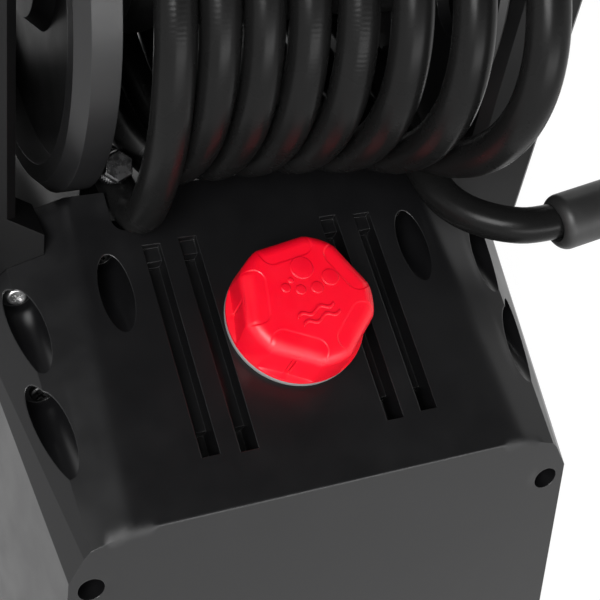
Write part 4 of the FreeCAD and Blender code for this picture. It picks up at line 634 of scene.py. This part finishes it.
def cap_profile():
    """The cap's skin from its lower edge to near the top's middle.

    Each row has the plain skin's radius and height, and the same two on a grip's middle."""
    foot_high = CAP_HIGH - CAP_SHOULDER
    rows = [(CAP_RADIUS - 0.5, CAP_LOW, CAP_RADIUS, CAP_LOW),
            (CAP_RADIUS - 0.15, CAP_LOW + 0.1, CAP_RADIUS, CAP_LOW + 0.1)]
    heights = [CAP_LOW + LIP_STEP * k for k in range(1, LIP_ROWS + 1)]
    wall = foot_high - heights[-1]
    heights += [heights[-1] + wall * k / WALL_ROWS for k in range(1, WALL_ROWS + 1)]
    for height in heights:
        share = (height - CAP_LOW) / (foot_high - CAP_LOW)
        radius = CAP_RADIUS + (CAP_UPPER_RADIUS - CAP_RADIUS) * share
        rows.append((radius, height, GRIP_WALL, height - GRIP_STEP * share))
    for k in range(1, SHOULDER_ROWS + 1):
        angle = math.radians(90 * k / SHOULDER_ROWS)
        inward = CAP_SHOULDER * (1 - math.cos(angle))
        height = foot_high + CAP_SHOULDER * math.sin(angle)
        rows.append((CAP_UPPER_RADIUS - inward, height, GRIP_WALL - inward, height - GRIP_STEP))
    edge = rows[-1][0]
    grip_edge = rows[-1][2]
    for k in range(1, TOP_ROWS + 1):
        radius = edge - TOP_STEP * k
        share = (radius - GRIP_ARCH) / (edge - GRIP_ARCH)
        grip_radius = GRIP_ARCH + (grip_edge - GRIP_ARCH) * share if share > 0 else radius
        rows.append((radius, CAP_HIGH, grip_radius, CAP_HIGH - GRIP_STEP))
    return rows


def grip_share(along, aside, height):
    """How far a point belongs to a finger grip: 0 outside, 1 inside, soft at its border."""
    inside = min(GRIP_HALF - aside, along - GRIP_ARCH)
    corner_aside = aside - (GRIP_HALF - GRIP_CORNER)
    corner_along = GRIP_ARCH + GRIP_CORNER - along
    if corner_aside > 0 and corner_along > 0:
        inside = GRIP_CORNER - math.hypot(corner_aside, corner_along)
    inside = min(inside, height - GRIP_FOOT)
    return min(max(inside / SOFT, 0), 1)


def gripped(row, angle):
    """Radius and height of a row's point, once it is drawn onto a grip where one is."""
    radius, height, grip_radius, grip_height = row
    pitch = 2 * math.pi / GRIPS
    off = (angle - FIRST_GRIP + pitch / 2) % pitch - pitch / 2
    along = radius * math.cos(off)
    aside = abs(radius * math.sin(off))
    share = grip_share(along, aside, height)
    if share == 0:
        return radius, height
    drawn = min(along, grip_radius)
    if aside < GROOVE_HALF:
        fade = min(max((GROOVE_TOP - height) / GROOVE_FADE, 0), 1)
        drawn -= GROOVE_DEEP * fade * math.sqrt(1 - (aside / GROOVE_HALF) ** 2)
    on_grip = math.hypot(along + (drawn - along) * share, aside)
    return on_grip, height + (grip_height - height) * share


def under_lid(radius, angle, height):
    """A point from the middle of the lid, which lies beside that of the neck."""
    return on_deck(LID_ASIDE + radius * math.cos(angle), radius * math.sin(angle) - LID_DOWNHILL,
                   height)


def cap_place(row, angle):
    """A vertex of the cap's skin."""
    radius, height = gripped(row, angle)
    return under_lid(radius, angle, height)


def cap_inner_place(row, angle):
    """A vertex of the cap's inside and its lower edge, which the grips don't reach."""
    return under_lid(row[0], angle, row[1])


bm = bmesh.new()
inner_rows = [(CAP_INSIDE, CAP_HIGH - 3), (CAP_INSIDE, CAP_LOW + 0.3), (CAP_INSIDE + 0.3, CAP_LOW)]
inside = ring_mesh(bm, inner_rows, cap_inner_place)
outside = ring_mesh(bm, cap_profile(), cap_place)
band(bm, inside[-1], outside[0])
closed_by_lids(bm, inside + outside)
print("cap skin", len(bm.faces), "faces")

# %% [markdown]
# The bubbles and the two small waves on the lid are low raised forms with a rounded rim, sunk a
# little into the top so that no gap shows.

# %% Bubbles and waves
BUBBLES = [(2.3, 9.8, 4.6), (12.4, 4.2, 3.4), (6.0, 0.9, 2.4), (-0.7, 1.1, 2.0), (-6.3, 2.8, 1.8),
           (-3.5, 5.5, 1.1)]
BUBBLE_HIGH = 0.4
BUBBLE_STEPS = 48
SUNK = 0.3
WAVES = [(-5.5, -9.6), (-4.0, -13.0)]
WAVE_HIGH = 0.35
WAVE_STEPS = 120
WAVE_LONG = 16.0
WAVE_HALF = 0.7
WAVE_CLIMB = 3.4
WAVE_SWING = 0.9
WAVE_CRESTS = 2


def raised(bm, outline_at, steps, height):
    """A low raised form: its outline at four heights, drawn in towards the top."""
    levels = ((0.0, -SUNK), (0.0, 0.25 * height), (0.18, 0.85 * height), (0.45, height))
    rings = [[bm.verts.new(on_deck(*outline_at(k / steps, inset), CAP_HIGH + level))
              for k in range(steps)] for inset, level in levels]
    bands(bm, rings)
    closed_by_lids(bm, rings)


def bubble_outline(centre_x, centre_y, radius):
    """The outline of one bubble, as a function of the share of the way round and the inset."""
    def at(share, inset):
        angle = 2 * math.pi * share
        reach = radius - inset
        return (centre_x + reach * math.cos(angle), centre_y + reach * math.sin(angle))
    return at


def wave_outline(start_x, start_y):
    """The outline of a wave: out along its lower side and back along its upper side."""
    def at(share, inset):
        half = WAVE_HALF - inset
        back = share > 0.5
        run = 2 - 2 * share if back else 2 * share
        middle = start_y + WAVE_CLIMB * run + WAVE_SWING * math.sin(run * WAVE_CRESTS * 2 * math.pi)
        return (start_x + WAVE_LONG * run, middle + (half if back else -half))
    return at


for across, uphill, radius in BUBBLES:
    raised(bm, bubble_outline(across, uphill, radius), BUBBLE_STEPS, BUBBLE_HIGH)
for start_x, start_y in WAVES:
    raised(bm, wave_outline(start_x, start_y), WAVE_STEPS, WAVE_HIGH)
soap_lid = finished(bm, "soap_lid", cap_red, "cap", "soap_cap")
print("soap lid", len(soap_lid.data.vertices), "vertices")

# %% [markdown]
# The grey seal under the lid is a flat ring with rounded edges. It is as wide as the lid, so
# only its lower rim peeps out at the front. Each of its rows says how far it is set aside with
# the lid, 0 or 1, then its radius and its height.

# %% The seal under the lid
SEAL_RADIUS = 27.8
SEAL_BORE = 20.4
SEAL_HIGH = 2.7


def seal_place(row, angle):
    """A vertex of the seal: its outside is centred under the lid, its bore on the neck."""
    share, radius, height = row
    return on_deck(share * LID_ASIDE + radius * math.cos(angle),
                   radius * math.sin(angle) - share * LID_DOWNHILL, height)


bm = bmesh.new()
seal_rows = [(0, SEAL_BORE, 0.05), (1, SEAL_RADIUS - 0.5, 0.05), (1, SEAL_RADIUS - 0.1, 0.35),
             (1, SEAL_RADIUS, 0.9), (1, SEAL_RADIUS, 1.8), (1, SEAL_RADIUS - 0.15, 2.3),
             (1, SEAL_RADIUS - 0.6, SEAL_HIGH), (0, SEAL_BORE, SEAL_HIGH)]
seal_rings = ring_mesh(bm, seal_rows, seal_place)
band(bm, seal_rings[-1], seal_rings[0])
finished(bm, "lid_seal", gasket_grey, "chassis", "tank_gasket")
print("seal", 2 * SEAL_RADIUS, "mm across")

# %% [markdown]
# ## The inner turns
# Under the loose outer turns the drum is full of hose, wound tight. The CAD model has a plain
# sleeve there. Here it gets the rounded backs of the turns, as one skin that climbs along the
# drum like a screw thread.

# %% The inner turns
REEL_AXIS = Vector((0, 43, 272)) * MM
TURN_GAP = 0.4 * MM
TURN_DEEP = 4.2 * MM
SLICES = 220
AROUND = 96
low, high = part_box("hose_core")
core_long = high.x - low.x
core_radius = (high.z - low.z) / 2
inner_pitch = core_long / round(core_long / (HOSE + TURN_GAP))
bm = bmesh.new()
rings = []
for i in range(SLICES + 1):
    x = low.x + core_long * i / SLICES
    ring = []
    for k in range(AROUND):
        angle = 2 * math.pi * k / AROUND
        phase = ((x - low.x) / inner_pitch + k / AROUND) % 1 * 2 - 1
        radius = core_radius - TURN_DEEP * (1 - math.sqrt(max(0.0, 1 - phase ** 2)))
        ring.append(bm.verts.new((x, REEL_AXIS.y + radius * math.cos(angle),
                                  REEL_AXIS.z + radius * math.sin(angle))))
    rings.append(ring)
bands(bm, rings[::-1])
inner_skin = rubber("inner_turns", 0.010, 0.42)
finished(bm, "inner_turns", inner_skin, "reel", "hose_core", smooth=60)
print("inner turns", round(inner_pitch / MM, 1), "mm apart")

# %% [markdown]
# ## The outlet nut
# Where the hose starts, a coupling stands up beside the first turn: a ring with a coarse knurl
# for the fingers, and on it a hexagon for the spanner. The knurl is made as teeth of the ring's
# own outline, because it is large enough to catch the light.

# %% The outlet nut
NUT = Vector((-54.4, -33, 217)) * MM
NUT_AXIS = Vector((0, -0.78, 0.62)).normalized()
NUT_SIDE = NUT_AXIS.orthogonal().normalized()
NUT_UP = NUT_AXIS.cross(NUT_SIDE)
TEETH = 40
TOOTH = (6.8, 6.8, 6.35, 6.35)
HEX_FLAT = 5.5
HEX_CORNER = 6.25
HEX_STEPS = 72


def nut_point(radius, angle, height):
    """A point on the nut from millimetres and radians about its axis, from its middle."""
    flat = NUT_SIDE * math.cos(angle) + NUT_UP * math.sin(angle)
    return NUT + (flat * radius + NUT_AXIS * height) * MM


def stack(bm, outline, levels):
    """A closed form from an outline at several heights; each level is (height, inset)."""
    rings = [[bm.verts.new(nut_point(radius - inset, angle, height)) for radius, angle in outline]
             for height, inset in levels]
    bands(bm, rings)
    closed_by_lids(bm, rings)


knurl = []
for k in range(TEETH * len(TOOTH)):
    knurl.append((TOOTH[k % len(TOOTH)], 2 * math.pi * k / (TEETH * len(TOOTH))))
hexagon = []
for k in range(HEX_STEPS):
    angle = 2 * math.pi * k / HEX_STEPS
    off = (angle + math.pi / 6) % (math.pi / 3) - math.pi / 6
    hexagon.append((min(HEX_FLAT / math.cos(off), HEX_CORNER), angle))
bm = bmesh.new()
stack(bm, knurl, [(-10.5, 0.7), (-9.9, 0.0), (-4.1, 0.0), (-3.5, 0.7)])
stack(bm, hexagon, [(-3.6, 0.0), (2.9, 0.0), (3.5, 0.6)])
finished(bm, "outlet_nut", nut_steel, "chassis", "hose_nut", smooth=25)
print("outlet nut", TEETH, "teeth")

# %% [markdown]
# ## The sleeve
# A thick rubber sleeve guards the hose where it meets its coupling. Its mouth is rounded and
# lies close on the hose. With it the hose is whole.

# %% The sleeve
SLEEVE_RADIUS = 11.7
SLEEVE_BORE = 7.4
SLEEVE_LONG = 67
SLEEVE_FROM = 39
MOUTH_STEPS = 10
last = route[-1]
SLEEVE_AXIS = (last - route[-2]).normalized()
SLEEVE_SIDE = SLEEVE_AXIS.orthogonal().normalized()
SLEEVE_UP = SLEEVE_AXIS.cross(SLEEVE_SIDE)


def sleeve_place(row, angle):
    """A vertex of the sleeve, from millimetres along its axis and out from it."""
    along, radius = row
    out = SLEEVE_SIDE * math.cos(angle) + SLEEVE_UP * math.sin(angle)
    return last + (SLEEVE_AXIS * (along - SLEEVE_FROM) + out * radius) * MM


def mouth(start, turn):
    """A quarter round from the bore to the outside; turn is -1 at the front, 1 at the back."""
    wall = SLEEVE_RADIUS - SLEEVE_BORE
    angles = [math.radians(90 * k / MOUTH_STEPS) for k in range(MOUTH_STEPS + 1)]
    return [(start - turn * wall * (1 - math.cos(angle)), SLEEVE_BORE + wall * math.sin(angle))
            for angle in angles]


sleeve_rows = mouth(0, -1) + list(reversed(mouth(SLEEVE_LONG, 1)))
bm = bmesh.new()
sleeve_rings = ring_mesh(bm, sleeve_rows, sleeve_place)
band(bm, sleeve_rings[-1], sleeve_rings[0])
rubber_sleeve = finished(bm, "rubber_sleeve", sleeve_black, "chassis", "hose_sleeve")
print("sleeve", round(2 * SLEEVE_RADIUS, 1), "mm thick")

# %% [markdown]
# ## The floor's finish
# The floor is nearly white for the camera, in mirrors and through glass, and plain pale for
# everything else, so that the machine stands on the photograph's ground and has a soft shadow.

# %% The floor's finish
FLOOR_GLOW = 1.1
GLOW_SHARE = 0.85
floor_white = Finish("floor_white", Base_Color=grey(0.86), Roughness=0.7)
glow = floor_white.node("ShaderNodeEmission", sockets={"Color": grey(1.0), "Strength": FLOOR_GLOW})
rays = floor_white.node("ShaderNodeLightPath", out="Is Camera Ray")
outputs = rays.socket.node.outputs
white = (rays + Wire(floor_white, outputs["Is Glossy Ray"])
         + Wire(floor_white, outputs["Is Transmission Ray"]))
plain = Wire(floor_white, floor_white.shader.outputs[0])
cover = floor_white.node("ShaderNodeMixShader", sockets={0: white * GLOW_SHARE, 1: plain, 2: glow})
surface = floor_white.tree.nodes["Material Output"].inputs["Surface"]
floor_white.tree.links.new(cover.socket, surface)
floor_mesh.materials.append(floor_white.material)
